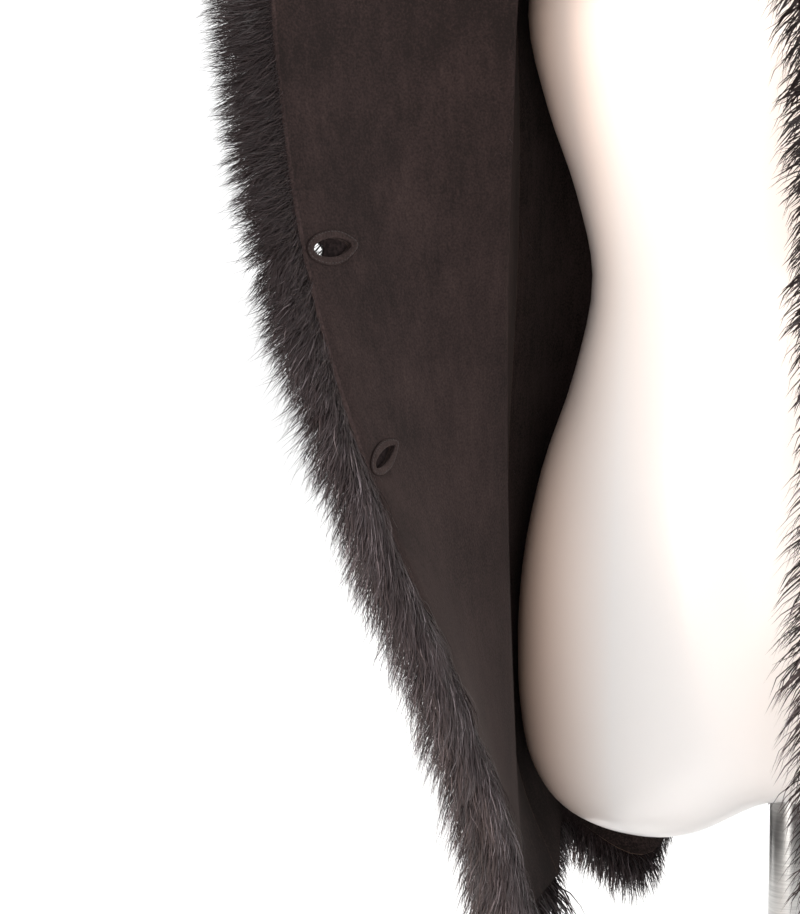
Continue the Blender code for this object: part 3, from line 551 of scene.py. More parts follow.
SEAM_INSET = 0.15
SEWN_SIDES = {
    "back": [(0, 1), (1, 0), (1, 1)], "right_front": [(0, 1), (1, 1)], "left_front": [(0, 1), (1, 1)],
    "right_sleeve": [(0, 0)], "left_sleeve": [(0, 0)],
}
for skin in skins:
    grid = moved_in(skin["grid"], {side: SEAM_INSET for side in SEWN_SIDES[skin["name"]]})
    skin["piece"] = shell(skin["name"] + "_skin", grid, grid + skin["normals"] * SKIN_THICK, skin["closed"],
                          skin["outward"], [inner_suede, cut_edge, under_fur])
print("skins:", [skin["piece"].name for skin in skins])

# %% [markdown]
# Inside each front edge lies a facing, a strip of suede that runs from the hem to the neck. It hides
# the raw edge and carries the buttonholes. It stands off the skin by less than a millimetre, and its
# rounded rim catches the light as a thin line along the edge and along the inner seam.

# %% Facings
FACING_GAP, FACING_THICK = 0.4, 1.5
RIM_TOP, RIM_LOW = (2.2, 1.1), (0.2, 0.2)     # how far the rim lies in at the front edge and at the seam


def facing(name, skin):
    strip = slice(0, SEAM_COLUMN + 1)
    top, low = (moved_in(skin["grid"][:, strip], {(1, 0): a, (1, 1): b, (0, 0): 1.0 + b, (0, 1): 1.0})
                for a, b in (RIM_TOP, RIM_LOW))
    normals = skin["normals"][:, strip]
    return shell(name, top - normals * (FACING_GAP + FACING_THICK), low - normals * FACING_GAP, False,
                 skin["outward"], [facing_suede, folded_edge, facing_suede])


right_facing = facing("right_facing_suede", right_front)
left_facing = facing("left_facing_suede", left_front)
print("facings:", right_facing.name, left_facing.name)

# %% [markdown]
# Two bound buttonholes stand in the turned-back front. A bound buttonhole is a slit with a narrow
# welt of suede sewn round it, rounder at the end where the button sits. A point on the front is found
# by its height and by how far it lies in from the edge, so a hole's outline follows the bowed strip.

# %% Buttonholes
BUTTONHOLES = [(457.0, 16.0, 2.9), (568.0, 3.0, 5.0)]   # height, tilt, half the gape
BUTTONHOLE_IN, HOLE_HALF, BINDING_WIDE = 21.6, 14.6, (5.2, 4.3)
WELT_RISE, WELT_HALF, STITCH_RISE, STITCH_IN = -2.9, 0.8, -3.35, 0.9


def on_front(skin, height, inward, lift):
    """The point at a height and so far in from the front edge, lifted off the skin."""
    parts = [skin[key][:, : SEAM_COLUMN + 1] for key in ("grid", "normals")]
    run = run_in(parts[0].swapaxes(0, 1)).T
    line, out = (np.array([[np.interp(inward, r, row[:, k]) for k in range(3)] for r, row in zip(run, rows)])
                 for rows in parts)
    point, way = ([np.interp(height, line[:, 2], part[:, k]) for k in range(3)] for part in (line, out))
    return np.array(point) + unit(np.array(way)) * lift


def almond(half, count, tilt):
    """Points round a buttonhole: an oval, narrower at the end away from the edge."""
    turn = np.linspace(0, 2 * np.pi, count, endpoint=False)
    across = half[0] * np.cos(turn)
    up = half[1] * np.sin(turn) * (1 - 0.38 * np.clip(np.cos(turn), 0, 1) ** 2)
    cos, sin = math.cos(math.radians(tilt)), math.sin(math.radians(tilt))
    return np.stack([across * cos - up * sin, across * sin + up * cos], axis=1)


def ring_piece(name, rings, materials, hollow):
    rows, count = rings.shape[:2]
    number = wrapped(np.arange(rows * count).reshape(rows, count))
    number = np.concatenate([number, number[:1]]) if hollow else number
    faces = grid_faces(number).tolist()
    if not hollow:
        faces += [list(range(count))[::-1], list(range((rows - 1) * count, rows * count))]
    piece = mesh_piece(name, rings.reshape(-1, 3), faces, materials)
    work = bmesh.new()
    work.from_mesh(piece.data)
    bmesh.ops.recalc_face_normals(work, faces=work.faces)
    work.to_mesh(piece.data)
    work.free()
    return piece


def rings_on_front(skin, height, outlines):
    return np.array([[on_front(skin, height + up, BUTTONHOLE_IN + across, lift) for across, up in outline]
                     for outline, lift in outlines])


def cut_through(pieces, cutters):
    """Cut the cutters' shapes out of each piece, then remove the cutters."""
    for piece in pieces:
        for cutter in cutters:
            cut = piece.modifiers.new("cut", "BOOLEAN")
            cut.operation, cut.object, cut.solver = "DIFFERENCE", cutter, "EXACT"
        graph = bpy.context.evaluated_depsgraph_get()
        mesh = bpy.data.meshes.new_from_object(piece.evaluated_get(graph))
        piece.modifiers.clear()
        piece.data = mesh
    for cutter in cutters:
        bpy.data.objects.remove(cutter)


bindings, cutters, stitch_lines = [], [], []
for number, (height, tilt, gape) in enumerate(BUTTONHOLES, start=1):
    inside, outside = (HOLE_HALF, gape), (HOLE_HALF + BINDING_WIDE[0], gape + BINDING_WIDE[1])
    section = np.linspace(0, 2 * np.pi, 10, endpoint=False)
    share, rise = (1 - np.cos(section)) / 2, np.sin(section)
    outlines = []
    for s, r in zip(share, rise):
        half = [a + (b - a) * s for a, b in zip(inside, outside)]
        outlines.append((almond(half, 56, tilt), WELT_RISE - WELT_HALF * r))
    bindings.append(ring_piece(f"buttonhole_welt_{number}", rings_on_front(right_front, height, outlines),
                               [binding_suede], True))
    hole = [(almond([h + 0.3 for h in inside], 40, tilt), lift) for lift in (-6.0, 6.0)]
    rings = rings_on_front(right_front, height, hole)
    cutters.append(ring_piece(f"hole_cutter_{number}", rings, [], False))
    line = almond([h - STITCH_IN for h in outside], 56, tilt)
    stitch_lines.append(rings_on_front(right_front, height, [(line, STITCH_RISE)])[0])
cut_through([right_facing, right_front["piece"]], cutters)
print("buttonholes at heights", [height for height, _, _ in BUTTONHOLES], "mm")

# %% [markdown]
# Stitches repeat along a line, so Geometry Nodes place them: the line is cut into equal steps, and one
# small stitch is copied to each, turned along the line. Copies are only references until Realize
# Instances makes them real, and the result is baked to a plain mesh.

# %% Stitches by Geometry Nodes
def new_group(name, sockets):
    """A Geometry Nodes group with a geometry input and output and the named inputs."""
    group = bpy.data.node_groups.new(name, "GeometryNodeTree")
    group.interface.new_socket("Geometry", in_out="OUTPUT", socket_type="NodeSocketGeometry")
    group.interface.new_socket("Geometry", in_out="INPUT", socket_type="NodeSocketGeometry")
    for label, kind in sockets:
        group.interface.new_socket(label, in_out="INPUT", socket_type="NodeSocket" + kind)
    return group, add(group, "NodeGroupInput").outputs


def finish_group(group, geometry, material):
    """A group's last nodes: smooth shading, the material and the output."""
    soft = add(group, "GeometryNodeSetShadeSmooth", {0: geometry})
    done = add(group, "GeometryNodeSetMaterial", {"Geometry": soft.outputs[0], "Material": material})
    add(group, "NodeGroupOutput", {0: done.outputs[0]})


def bake(item, group, values, name):
    """The object's shape after the group has run on it with these inputs, as a new plain piece."""
    modifier = item.modifiers.new(group.name, "NODES")
    modifier.node_group = group
    for socket in group.interface.items_tree:
        if socket.in_out == "INPUT" and socket.name in values:
            modifier[socket.identifier] = values[socket.name]
    graph = bpy.context.evaluated_depsgraph_get()
    mesh = bpy.data.meshes.new_from_object(
        item.evaluated_get(graph), preserve_all_data_layers=True, depsgraph=graph)
    mesh.name = name
    return in_scene(name, mesh)


def polyline(name, points, cyclic):
    curve = bpy.data.curves.new(name, "CURVE")
    curve.dimensions = "3D"
    spline = curve.splines.new("POLY")
    spline.points.add(len(points) - 1)
    weighted = np.concatenate([np.array(points) * MM, np.ones((len(points), 1))], axis=1)
    spline.points.foreach_set("co", weighted.ravel())
    spline.use_cyclic_u = cyclic
    return in_scene(name, curve)


stitches, given = new_group("stitches_on_a_line", [
    ("Step", "Float"), ("Length", "Float"), ("Thread", "Float"), ("Material", "Material")])
cut_up = add(stitches, "GeometryNodeResampleCurve", {
    "Curve": given["Geometry"], "Length": given["Step"]}, mode="LENGTH")
tangent = add(stitches, "GeometryNodeInputTangent").outputs[0]
turn = add(stitches, "FunctionNodeAlignRotationToVector", {"Vector": tangent}, axis="Z")
bead = add(stitches, "GeometryNodeMeshUVSphere", {"Segments": 6, "Rings": 5, "Radius": 0.5})
size = add(stitches, "ShaderNodeCombineXYZ", {
    "X": given["Thread"], "Y": given["Thread"], "Z": given["Length"]})
placed = add(stitches, "GeometryNodeInstanceOnPoints", {
    "Points": cut_up.outputs[0], "Instance": bead.outputs["Mesh"], "Rotation": turn.outputs[0],
    "Scale": size.outputs[0]})
real = add(stitches, "GeometryNodeRealizeInstances", {0: placed.outputs[0]})
finish_group(stitches, real.outputs[0], given["Material"])

thread, _, thread_shader = new_material("waxed_polyester_thread", Roughness=0.7)
thread_shader.inputs["Base Color"].default_value = linear("#1C1413")
STITCH = {"Step": 0.0026, "Length": 0.0018, "Thread": 0.0007, "Material": thread}
seams = []
for number, line in enumerate(stitch_lines, start=1):
    path = polyline("path", line, True)
    seams.append(bake(path, stitches, STITCH, f"buttonhole_stitches_{number}"))
    bpy.data.objects.remove(path)
print("stitches in each ring:", len(seams[0].data.polygons) // 30)

# %% [markdown]
# Fur is tens of thousands of hairs, each one a ribbon of a few faces that narrows to a point and bends
# over. Blender's hair system would draw them well but can't leave as a mesh, so Geometry Nodes scatter
# real ribbons on the skin. The skin carries, at each point, which way the hair is combed, how much it
# stands, how long and how dense it is, and how deep its root may start. Hairs near each other lean
# towards a shared centre, as damp fur gathers in tufts: a Voronoi texture gives that centre.

# %% One hair, and the tree that grows the fur
def hair_mesh(name, steps):
    """A ribbon of length 1 along Z, 1 wide in X, bending over in Y."""
    along = np.linspace(0, 1, steps + 1)
    rise = 0.62 * along * (1 - along) + 0.02 * along
    half = 0.5 * (1 - along**1.7) ** 0.9
    points, share = [], []
    for t, y, w in zip(along[:-1], rise, half):
        points += [(-w, y, t), (w, y, t)]
        share += [t, t]
    points.append((0, rise[-1], 1))
    faces = [(2 * i, 2 * i + 1, 2 * i + 3, 2 * i + 2) for i in range(steps - 1)]
    faces.append((2 * steps - 2, 2 * steps - 1, 2 * steps))
    mesh = bpy.data.meshes.new(name)
    mesh.from_pydata(points, [], faces)
    mesh.attributes.new("along", "FLOAT", "POINT").data.foreach_set("value", share + [1.0])
    return in_scene(name, mesh)


coarse_hair, fine_hair = hair_mesh("hair_of_3_steps", 3), hair_mesh("hair_of_4_steps", 4)

fur, given = new_group("fur", [
    ("Hair", "Object"), ("Hairs per square metre", "Float"), ("Hair width", "Float"), ("Disorder", "Float"),
    ("Tuft size", "Float"), ("Tuft pull", "Float"), ("Waviness", "Float"), ("Seed", "Int"),
    ("Material", "Material")])


def named(kind, name):
    return add(fur, "GeometryNodeInputNamedAttribute", {"Name": name}, data_type=kind).outputs["Attribute"]


def maths(operation, *values):
    return add(fur, "ShaderNodeMath", dict(enumerate(values)), operation=operation).outputs[0]


def vectors(operation, *values, **more):
    node = add(fur, "ShaderNodeVectorMath", {**dict(enumerate(values)), **more}, operation=operation)
    return node.outputs["Value" if operation in ("DOT_PRODUCT", "LENGTH") else "Vector"]


def chance(low, high, step):
    """A random number for each hair. The step keeps the draws apart."""
    seed = maths("ADD", given["Seed"], float(step))
    return add(fur, "FunctionNodeRandomValue", {2: low, 3: high, "Seed": seed}, data_type="FLOAT").outputs[1]


density = maths("MULTIPLY", given["Hairs per square metre"], named("FLOAT", "thick"))
roots = add(fur, "GeometryNodeDistributePointsOnFaces", {
    "Mesh": given["Geometry"], "Density": density, "Seed": given["Seed"]}, distribute_method="RANDOM")
where = add(fur, "GeometryNodeInputPosition").outputs[0]
out, comb = named("FLOAT_VECTOR", "out"), named("FLOAT_VECTOR", "comb")
jumble = add(fur, "FunctionNodeRandomValue", {0: (-1, -1, -1), 1: (1, 1, 1), "Seed": given["Seed"]},
             data_type="FLOAT_VECTOR").outputs[0]
swirl = vectors("SUBTRACT", noise(fur, where, 28.0, 1.0)["Color"], (0.5, 0.5, 0.5))
lean = vectors("ADD", comb, vectors("SCALE", jumble, Scale=given["Disorder"]))
lean = vectors("NORMALIZE", vectors("ADD", lean, vectors("SCALE", swirl, Scale=0.9)))
stand = maths("MULTIPLY", named("FLOAT", "stand"), chance(0.7, 1.3, 1))
way = vectors("NORMALIZE", vectors("ADD", lean, vectors("SCALE", out, Scale=stand)))
start = vectors("SCALE", out, Scale=maths("MULTIPLY", named("FLOAT", "root"), chance(0.0, 1.0, 2)))
lifted = add(fur, "GeometryNodeSetPosition", {"Geometry": roots.outputs["Points"], "Offset": start})
cell = add(fur, "ShaderNodeTexVoronoi", {"Vector": where, "Scale": maths("DIVIDE", 1.0, given["Tuft size"])})
pull = vectors("SUBTRACT", cell.outputs["Position"], where)
pull = vectors("SUBTRACT", pull, vectors("SCALE", out, Scale=vectors("DOT_PRODUCT", pull, out)))
pull = vectors("SCALE", pull, Scale=given["Tuft pull"])
kept = add(fur, "GeometryNodeStoreNamedAttribute", {
    "Geometry": lifted.outputs[0], "Name": "pull", "Value": pull}, data_type="FLOAT_VECTOR", domain="POINT")
kept = add(fur, "GeometryNodeStoreNamedAttribute", {
    "Geometry": kept.outputs[0], "Name": "tone", "Value": chance(0.0, 1.0, 3)},
    data_type="FLOAT", domain="POINT")
spun = chance(-1.1, 1.1, 4)
beside = vectors("CROSS_PRODUCT", way, out)
upward = vectors("ADD", vectors("SCALE", out, Scale=maths("COSINE", spun)),
                 vectors("SCALE", beside, Scale=maths("SINE", spun)))
aimed = add(fur, "FunctionNodeAxesToRotation", {0: way, 1: upward}, primary_axis="Z", secondary_axis="Y")
length = maths("MULTIPLY", named("FLOAT", "reach"), chance(0.72, 1.15, 5))
width = maths("MULTIPLY", given["Hair width"], chance(0.6, 1.25, 6))
scale = add(fur, "ShaderNodeCombineXYZ", {"X": width, "Y": length, "Z": length})
hair = add(fur, "GeometryNodeObjectInfo", {"Object": given["Hair"]}).outputs["Geometry"]
grown = add(fur, "GeometryNodeInstanceOnPoints", {
    "Points": kept.outputs[0], "Instance": hair, "Rotation": aimed.outputs[0], "Scale": scale.outputs[0]})
real = add(fur, "GeometryNodeRealizeInstances", {0: grown.outputs[0]})
tip = maths("POWER", named("FLOAT", "along"), 1.5)
wave = vectors("SUBTRACT", noise(fur, where, 90.0, 1.0)["Color"], (0.5, 0.5, 0.5))
wave = vectors("SCALE", wave, Scale=given["Waviness"])
drawn = vectors("SCALE", vectors("ADD", named("FLOAT_VECTOR", "pull"), wave), Scale=tip)
bent = add(fur, "GeometryNodeSetPosition", {"Geometry": real.outputs[0], "Offset": drawn})
finish_group(fur, bent.outputs[0], given["Material"])
print("fur tree of", len(fur.nodes), "nodes")

# %% [markdown]
# The furrier brushes the fur down from shoulder to hem, and at a free edge it spreads past the skin.
# Near a front edge the comb therefore turns outward, most at the chest and least at the hem, where the
# long hairs hang almost along the edge. Where a sleeve presses on the body the hairs are short and
# lie flat.

# %% Which way the fur lies
SPLAY = {  # height, how far the comb turns off the edge, how much more the hair stands there
    "right_front": ([160, 330, 450, 560, 700, 900], [0.3, 0.4, 0.55, 1.3, 2.6, 1.6],
                    [0.25, 0.45, 0.5, 0.4, 0.3, 0.1]),
    "left_front": ([160, 900], [0.5, 0.7], [0.1, 0.1]),
}
HAIR_LENGTH, HAIR_STAND = 37.0, 0.46
SHORT = (  # share of the way across the back's hem, and how short the fringe is there
    [0.0, 0.09, 0.13, 0.21, 0.24, 0.27, 0.73, 0.8, 1.0], [0.8, 0.8, 0.1, 0.0, 0.4, 1, 1, 0, 0])
EDGE_FADE, HEM_FADE, FRINGE_FADE = 30.0, 25.0, 30.0     # millimetres in which an edge's comb dies away


def comb_skin(skin):
    grid, out, deep = skin["grid"], skin["normals"], skin["depth"] / PILE
    down = np.gradient(grid, axis=0) * (1 if skin["closed"] else -1)
    down = unit(down - out * (down * out).sum(axis=2, keepdims=True))
    stand, reach, comb = HAIR_STAND * deep, HAIR_LENGTH * (0.45 + 0.55 * deep), down
    if not skin["closed"]:
        along = unit(np.gradient(grid, axis=1))
        off = unit(np.cross(along, out))
        off = off * np.where((off * down).sum(axis=2, keepdims=True) < 0, -1, 1)
        rise = run_in(grid)
        comb = unit(down + off * (1.2 * np.exp(-rise / HEM_FADE))[..., None])
        if skin["name"] == "back":
            short = np.interp(np.linspace(0, 1, grid.shape[1]), *SHORT)[None]
            reach = reach * (1 - 0.6 * short * np.exp(-rise / FRINGE_FADE))
    if skin["name"] in SPLAY:
        inward = run_in(grid.swapaxes(0, 1)).T
        off = -np.gradient(grid, axis=1)
        off = unit(off - out * (off * out).sum(axis=2, keepdims=True))
        heights, turns, stands = SPLAY[skin["name"]]
        near = np.exp(-inward / EDGE_FADE)
        comb = unit(comb + off * (np.interp(grid[:, :, 2], heights, turns) * near)[..., None])
        stand = stand + np.interp(grid[:, :, 2], heights, stands) * near
        reach = reach * (1 + 0.12 * near)
        skin["inward"] = inward
    skin.update(comb=comb, stand=stand, reach=reach)


for skin in skins:
    comb_skin(skin)
print("hair on a free front stands at", round(math.degrees(math.atan(HAIR_STAND))), "degrees")

# %% [markdown]
# The undercoat is a soft shell on the hair side, a little under half as deep as the fur, and lower at
# the free edges, where a roll of fur takes over. It fills the gaps between the guard hairs. Light
# comes through it only at the round end of the upper buttonhole, which gapes.

# %% Undercoat
UNDER_SHARE, UNDER_FADE, UNDER_GAP, UNDER_LEAST = 0.42, 9.0, 0.05, 0.2
GAPING = 4.0        # a buttonhole whose gape is more than this shows light
LIGHT_HALF, LIGHT_OFF, LIGHT_SLANT = 5.0, -9.0, 0.82     # the way that light takes through the fur there


def edge_run(skin):
    """Distance in from the nearest free side, in millimetres."""
    run = run_in(skin["grid"][::-1])[::-1] if skin["closed"] else run_in(skin["grid"])
    return np.minimum(run, skin["inward"]) if "inward" in skin else run


undercoats = []
for skin in skins:
    run = edge_run(skin)
    lift = skin["depth"] * UNDER_SHARE * np.clip(run / UNDER_FADE, 0.15, 1)
    skin["root"] = np.maximum(lift, 0.3)
    grid = moved_in(skin["grid"], {side: SEAM_INSET for side in SEWN_SIDES[skin["name"]]})
    grid = grid + skin["normals"] * (SKIN_THICK + UNDER_GAP)
    low, high = (g[::FINE, ::FINE] for g in (grid, grid + skin["normals"] * (UNDER_LEAST + lift)[..., None]))
    skin["undercoat"] = shell(
        skin["name"] + "_undercoat", low, high, skin["closed"], skin["outward"], [under_fur])
    undercoats.append(skin["undercoat"])
cutters = []
for number, (height, tilt, gape) in enumerate(BUTTONHOLES, start=1):
    if gape > GAPING:
        hole = [(almond((LIGHT_HALF, gape), 24, tilt) + (LIGHT_SLANT * lift + LIGHT_OFF, 0.0), lift)
                for lift in (-6.0, 30.0)]
        rings = rings_on_front(right_front, height, hole)
        cutters.append(ring_piece(f"fur_cutter_{number}", rings, [], False))
cut_through([right_front["undercoat"]], cutters)
print("undercoats:", [piece.name for piece in undercoats])

# %% [markdown]
# At a free edge the fur stands out past the leather and hides its cut. A soft roll of underfur
# therefore runs along each edge, an oval tube whose reach past the edge changes with height. High on
# the turned-back front the roll stays behind the suede, and low down it laps over it. What the
# camera sees beside the suede is the hair that grows on this roll.

# %% Rolls of fur along the free edges
ROLL_SIDES, ROLL_END = 14, 3.0                 # points round a roll, and points in which its end closes
ROLL_HIGH, ROLL_LUMPS = (2.0, 10.0), 1.6       # its height on thin fur and what deep fur adds, its lumps
ROLLS = {  # height, reach past the edge, reach in from it, how far round on the suede side, lapping
    "right_front": ([160, 296, 343, 385, 440, 490, 567, 666, 790, 926],
                    [6, 10, 14, 16, 17, 17, 17, 15, 13, 8], [1, 1, 1, 1, 2, 4, 8, 8, 8, 8],
                    [1.8, 1.8, 1.8, 1.8, 1.8, 1.5, 1.1, 1.1, 1.1, 1.1], [1, 1, 1, 1, 0.9, 0.5, 0, 0, 0, 0]),
    "left_front": ([160, 926], [12, 8], [8, 8], [1.0, 1.0], [0, 0]),
}
ROLL_REACH = ([160, 250, 340, 420, 515, 600, 700], [22, 28, 34, 29, 20, 22, 25])   # height, hair length
ROLL_TURN = {  # height, how far the hair turns off the edge
    "right_front": ([160, 330, 450, 515, 567, 640, 926], [0.30, 0.40, 0.60, 1.1, 1.7, 2.8, 2.6]),
    "left_front": ([160, 926], [0.6, 0.9]),
}
PLUMB, PLUMB_WAY = ([160, 420, 560], [1.8, 1.3, 0.0]), (-0.2, 0, -1)   # height, how plumb the hair hangs
FRINGE_PAST, FRINGE_REACH, FRINGE_SHORTER, FRINGE_FALL = 16.0, 24.0, 13.0, (0, 0, -0.8)


def roll(name, edge, off, down, past, inner, lap_round, lap, turn, reach, stand, loop=False):
    """An oval tube of underfur along an edge, with the hair's directions on it."""
    edge, out, deep = edge
    count = len(edge)
    off = unit(off - out * (off * out).sum(axis=1, keepdims=True))
    from_end = np.full(count, 9.0) if loop else np.minimum(np.arange(count), np.arange(count)[::-1])
    full = np.sqrt(1 - (1 - np.clip(from_end / ROLL_END, 0.1, 1)) ** 2)[:, None]
    around = np.linspace(0, 2 * np.pi, ROLL_SIDES, endpoint=False)[None]
    cos, sin = np.cos(around), np.sin(around)
    past, inner, lap_round, lap, turn, reach, deep = (
        np.broadcast_to(v, count)[:, None] for v in (past, inner, lap_round, lap, turn, reach, deep))
    high = ROLL_HIGH[0] + ROLL_HIGH[1] * deep
    half_off, half_out = (past + inner) / 2 * full, (high + lap_round) / 2 * full
    lumps = np.random.default_rng(count).normal(0, ROLL_LUMPS, (count, ROLL_SIDES))
    lumps = sum(np.roll(np.roll(lumps, i, axis=0), j, axis=1) for i in (-1, 0, 1) for j in (-1, 0, 1)) / 3
    across = (past - inner) / 2 + (half_off + lumps * full) * cos
    raised = (high - lap_round) / 2 + half_out * sin
    grid = edge[:, None] + off[:, None] * across[..., None] + out[:, None] * raised[..., None]
    normals = unit(off[:, None] * (cos / half_off)[..., None] + out[:, None] * (sin / half_out)[..., None])
    piece = ring_piece(name, grid, [under_fur], loop)
    outer = np.clip((1 + cos) / 2 * 1.3 - 0.1, 0, 1)
    inner_turn = turn + (-0.12 - turn) * lap
    comb = unit(down[:, None] + off[:, None] * (inner_turn + (turn - inner_turn) * outer)[..., None])
    thick = np.where(sin < 0.4, 1.0, 0.45) * np.where((sin < 0.3) & (across < 0.5), lap, 1.0)
    stand = stand * (1 + outer) * np.where(sin < 0, 0.3, 1.0)     # on the suede side the hair lies flatter
    made = {"grid": grid, "normals": normals, "comb": comb}
    for key, value in (("stand", stand), ("reach", reach), ("root", 0.6), ("thick", thick)):
        made[key] = value * np.ones((count, ROLL_SIDES))
    if loop:
        made = {key: np.concatenate([value, value[:1]]) for key, value in made.items()}
    return piece, made


rolls = {}
for skin in skins:
    grid, out, deep, name = skin["grid"], skin["normals"], skin["depth"] / PILE, skin["name"]
    last, before = (-1, -2) if skin["closed"] else (0, 1)
    fall = unit(grid[last] - grid[before])
    shorter = np.zeros(len(fall))
    if name == "back":
        shorter = FRINGE_SHORTER * np.interp(np.linspace(0, 1, len(fall)), *SHORT)
    if not skin["closed"]:
        fall = unit(fall + FRINGE_FALL)                    # the fringe hangs plumb, however its skin runs
    rolls[name + "_hem"] = roll(
        name + "_hem_roll", (grid[last], out[last], deep[last]), fall, 0.15 * fall, FRINGE_PAST - shorter,
        8.0, -0.5, 0.0, 1.0, FRINGE_REACH - shorter, 0.06, skin["closed"])
    if name in ROLLS:
        heights, *columns = ROLLS[name]
        z = grid[:, 0, 2]
        down = -unit(np.gradient(grid[:, 0], axis=0))
        if name == "right_front":                          # this edge slants low down, its hair hangs plumb
            down = unit(down + np.interp(z, *PLUMB)[:, None] * PLUMB_WAY)
        rolls[name] = roll(
            name + "_edge_roll", (grid[:, 0], out[:, 0], deep[:, 0]), grid[:, 0] - grid[:, 1], down,
            *(np.interp(z, heights, column) for column in columns), np.interp(z, *ROLL_TURN[name]),
            np.interp(z, *ROLL_REACH), 0.2)
print("rolls:", [piece.name for piece, _ in rolls.values()])

# %% [markdown]
# Now the hairs themselves. Where the camera comes close, along the turned-back edge and the back's
# hem, they are finer and denser. Elsewhere wider ribbons do, so each piece stays light enough.

# %% Hairs
def field(skin, rows=slice(None), cols=slice(None), thick=None, wrap=False, lift=SKIN_THICK):
    """A sheet of root points with the hair's directions on it, from part of a skin or roll."""
    arrays = {key: skin[key][rows, cols] for key in ("grid", "normals", "comb", "stand", "reach", "root")}
    arrays["thick"] = np.broadcast_to(1.0 if thick is None else thick, skin["stand"].shape)[rows, cols]
    arrays = {key: wrapped(value, wrap) for key, value in arrays.items()}
    rows, cols = arrays["grid"].shape[:2]
    faces = grid_faces(np.arange(rows * cols).reshape(rows, cols))
    points = (arrays["grid"] + arrays["normals"] * lift).reshape(-1, 3)
    item = mesh_piece("roots", points, faces.tolist(), [])
    for name, key, unit_size in (("out", "normals", 1), ("comb", "comb", 1), ("stand", "stand", 1),
                                 ("reach", "reach", MM), ("thick", "thick", 1), ("root", "root", MM)):
        kind = "FLOAT_VECTOR" if arrays[key].ndim == 3 else "FLOAT"
        values = (arrays[key] * unit_size).astype(np.float32).ravel()
        made = item.data.attributes.new(name, kind, "POINT")
        made.data.foreach_set("vector" if kind == "FLOAT_VECTOR" else "value", values)
    return item


HAIR_HELPERS = ("out", "comb", "stand", "reach", "thick", "root", "pull")
hair_triangles = 0


def grow(name, item, hair, per_m2, width, seed, disorder=0.22, tuft=0.011, pull=0.75, wave=0.006):
    global hair_triangles
    piece = bake(item, fur, {
        "Hair": hair, "Hairs per square metre": per_m2, "Hair width": width, "Disorder": disorder,
        "Tuft size": tuft, "Tuft pull": pull, "Waviness": wave, "Seed": seed, "Material": guard_fur}, name)
    bpy.data.objects.remove(item)
    for attribute in [a.name for a in piece.data.attributes if a.name in HAIR_HELPERS]:
        piece.data.attributes.remove(piece.data.attributes[attribute])
    count = sum(len(p.vertices) - 2 for p in piece.data.polygons)
    hair_triangles += count
    print(name, count, "triangles")
    return piece


THIN_UP, THIN_IN, THIN_HALF, THIN_LEAST = 12.0, -4.0, (11.0, 11.0, 21.0), 0.02
FOLD_BARE, FOLD_FADE, OUTER_FADE = 4.0, 10.0, 14.0
HAIR_SINK = -0.4         # the hairs of a roll start a little under its surface


def around_holes(skin):
    """Less fur over a gaping buttonhole's round end, so that light comes through it."""
    share = np.ones(skin["stand"].shape)
    for height, _, gape in BUTTONHOLES:
        middle = on_front(skin, height + THIN_UP, BUTTONHOLE_IN + THIN_IN, SKIN_THICK)
        away = np.linalg.norm((skin["grid"] - middle) / THIN_HALF, axis=2)
        share = np.minimum(share, np.clip(away * 1.6 - 0.8, THIN_LEAST if gape > GAPING else 1.0, 1))
    return share


EDGE = FINE * 2          # columns of a front that carry the fine fur of its edge
hairs = {skin["name"]: [] for skin in skins}
share = around_holes(right_front) * (0.4 + 0.9 * np.exp(-right_front["inward"] / OUTER_FADE))
fold = right_front["inward"][:, SEAM_COLUMN : SEAM_COLUMN + 1]       # no fur grows in the turned crease
turned = np.clip((np.abs(right_front["inward"] - fold) - FOLD_BARE) / FOLD_FADE, 0, 1)
edge = rolls["right_front"][1]
in_view = edge["thick"] * np.interp(edge["grid"][:, :, 2], [700, 760], [1.0, 0.35])
hairs["right_front"] += [
    grow("right_edge_long_hairs", field(edge, thick=in_view, wrap=True, lift=HAIR_SINK),
         fine_hair, 520000.0, 0.00045, 21, disorder=0.17, tuft=0.013, pull=0.55, wave=0.007),
    grow("right_edge_soft_hairs", field(edge, thick=in_view, wrap=True, lift=HAIR_SINK),
         coarse_hair, 600000.0, 0.00045, 22, disorder=0.26, tuft=0.008, pull=0.45, wave=0.006),
    grow("right_edge_outer_hairs", field(right_front, cols=slice(0, EDGE + 1), thick=share),
         fine_hair, 240000.0, 0.0006, 11, tuft=0.008, pull=0.5),
    grow("right_front_hairs", field(right_front, cols=slice(EDGE, None), thick=turned),
         coarse_hair, 115000.0, 0.0014, 12),
]
hairs["left_front"] += [grow("left_front_hairs", field(left_front), coarse_hair, 95000.0, 0.0015, 13)]
HEM = STEPS_UP[0]
hem = rolls["back_hem"][1]
in_view = hem["thick"] * np.interp(hem["grid"][:, :, 0], [-170, -150, -40, -10], [0.5, 1.0, 1.0, 0.4])
hairs["back"] += [
    grow("back_fringe_hairs", field(hem, thick=in_view, wrap=True, lift=HAIR_SINK),
         fine_hair, 420000.0, 0.00065, 23, disorder=0.16, tuft=0.006, pull=0.4),
    grow("back_hem_hairs", field(coat_back, rows=slice(0, HEM + 1)), fine_hair, 150000.0, 0.0011, 14),
    grow("back_hairs", field(coat_back, rows=slice(HEM, None)), coarse_hair, 76000.0, 0.0016, 15),
]
for name, skin, seed in (("right_sleeve", right_sleeve, 16), ("left_sleeve", left_sleeve, 17)):
    hairs[name].append(grow(name + "_hairs", field(skin, wrap=True), coarse_hair, 84000.0, 0.0015, seed))
OUT_OF_VIEW = ("right_front_hem", "left_front_hem", "left_front", "right_sleeve_hem", "left_sleeve_hem")
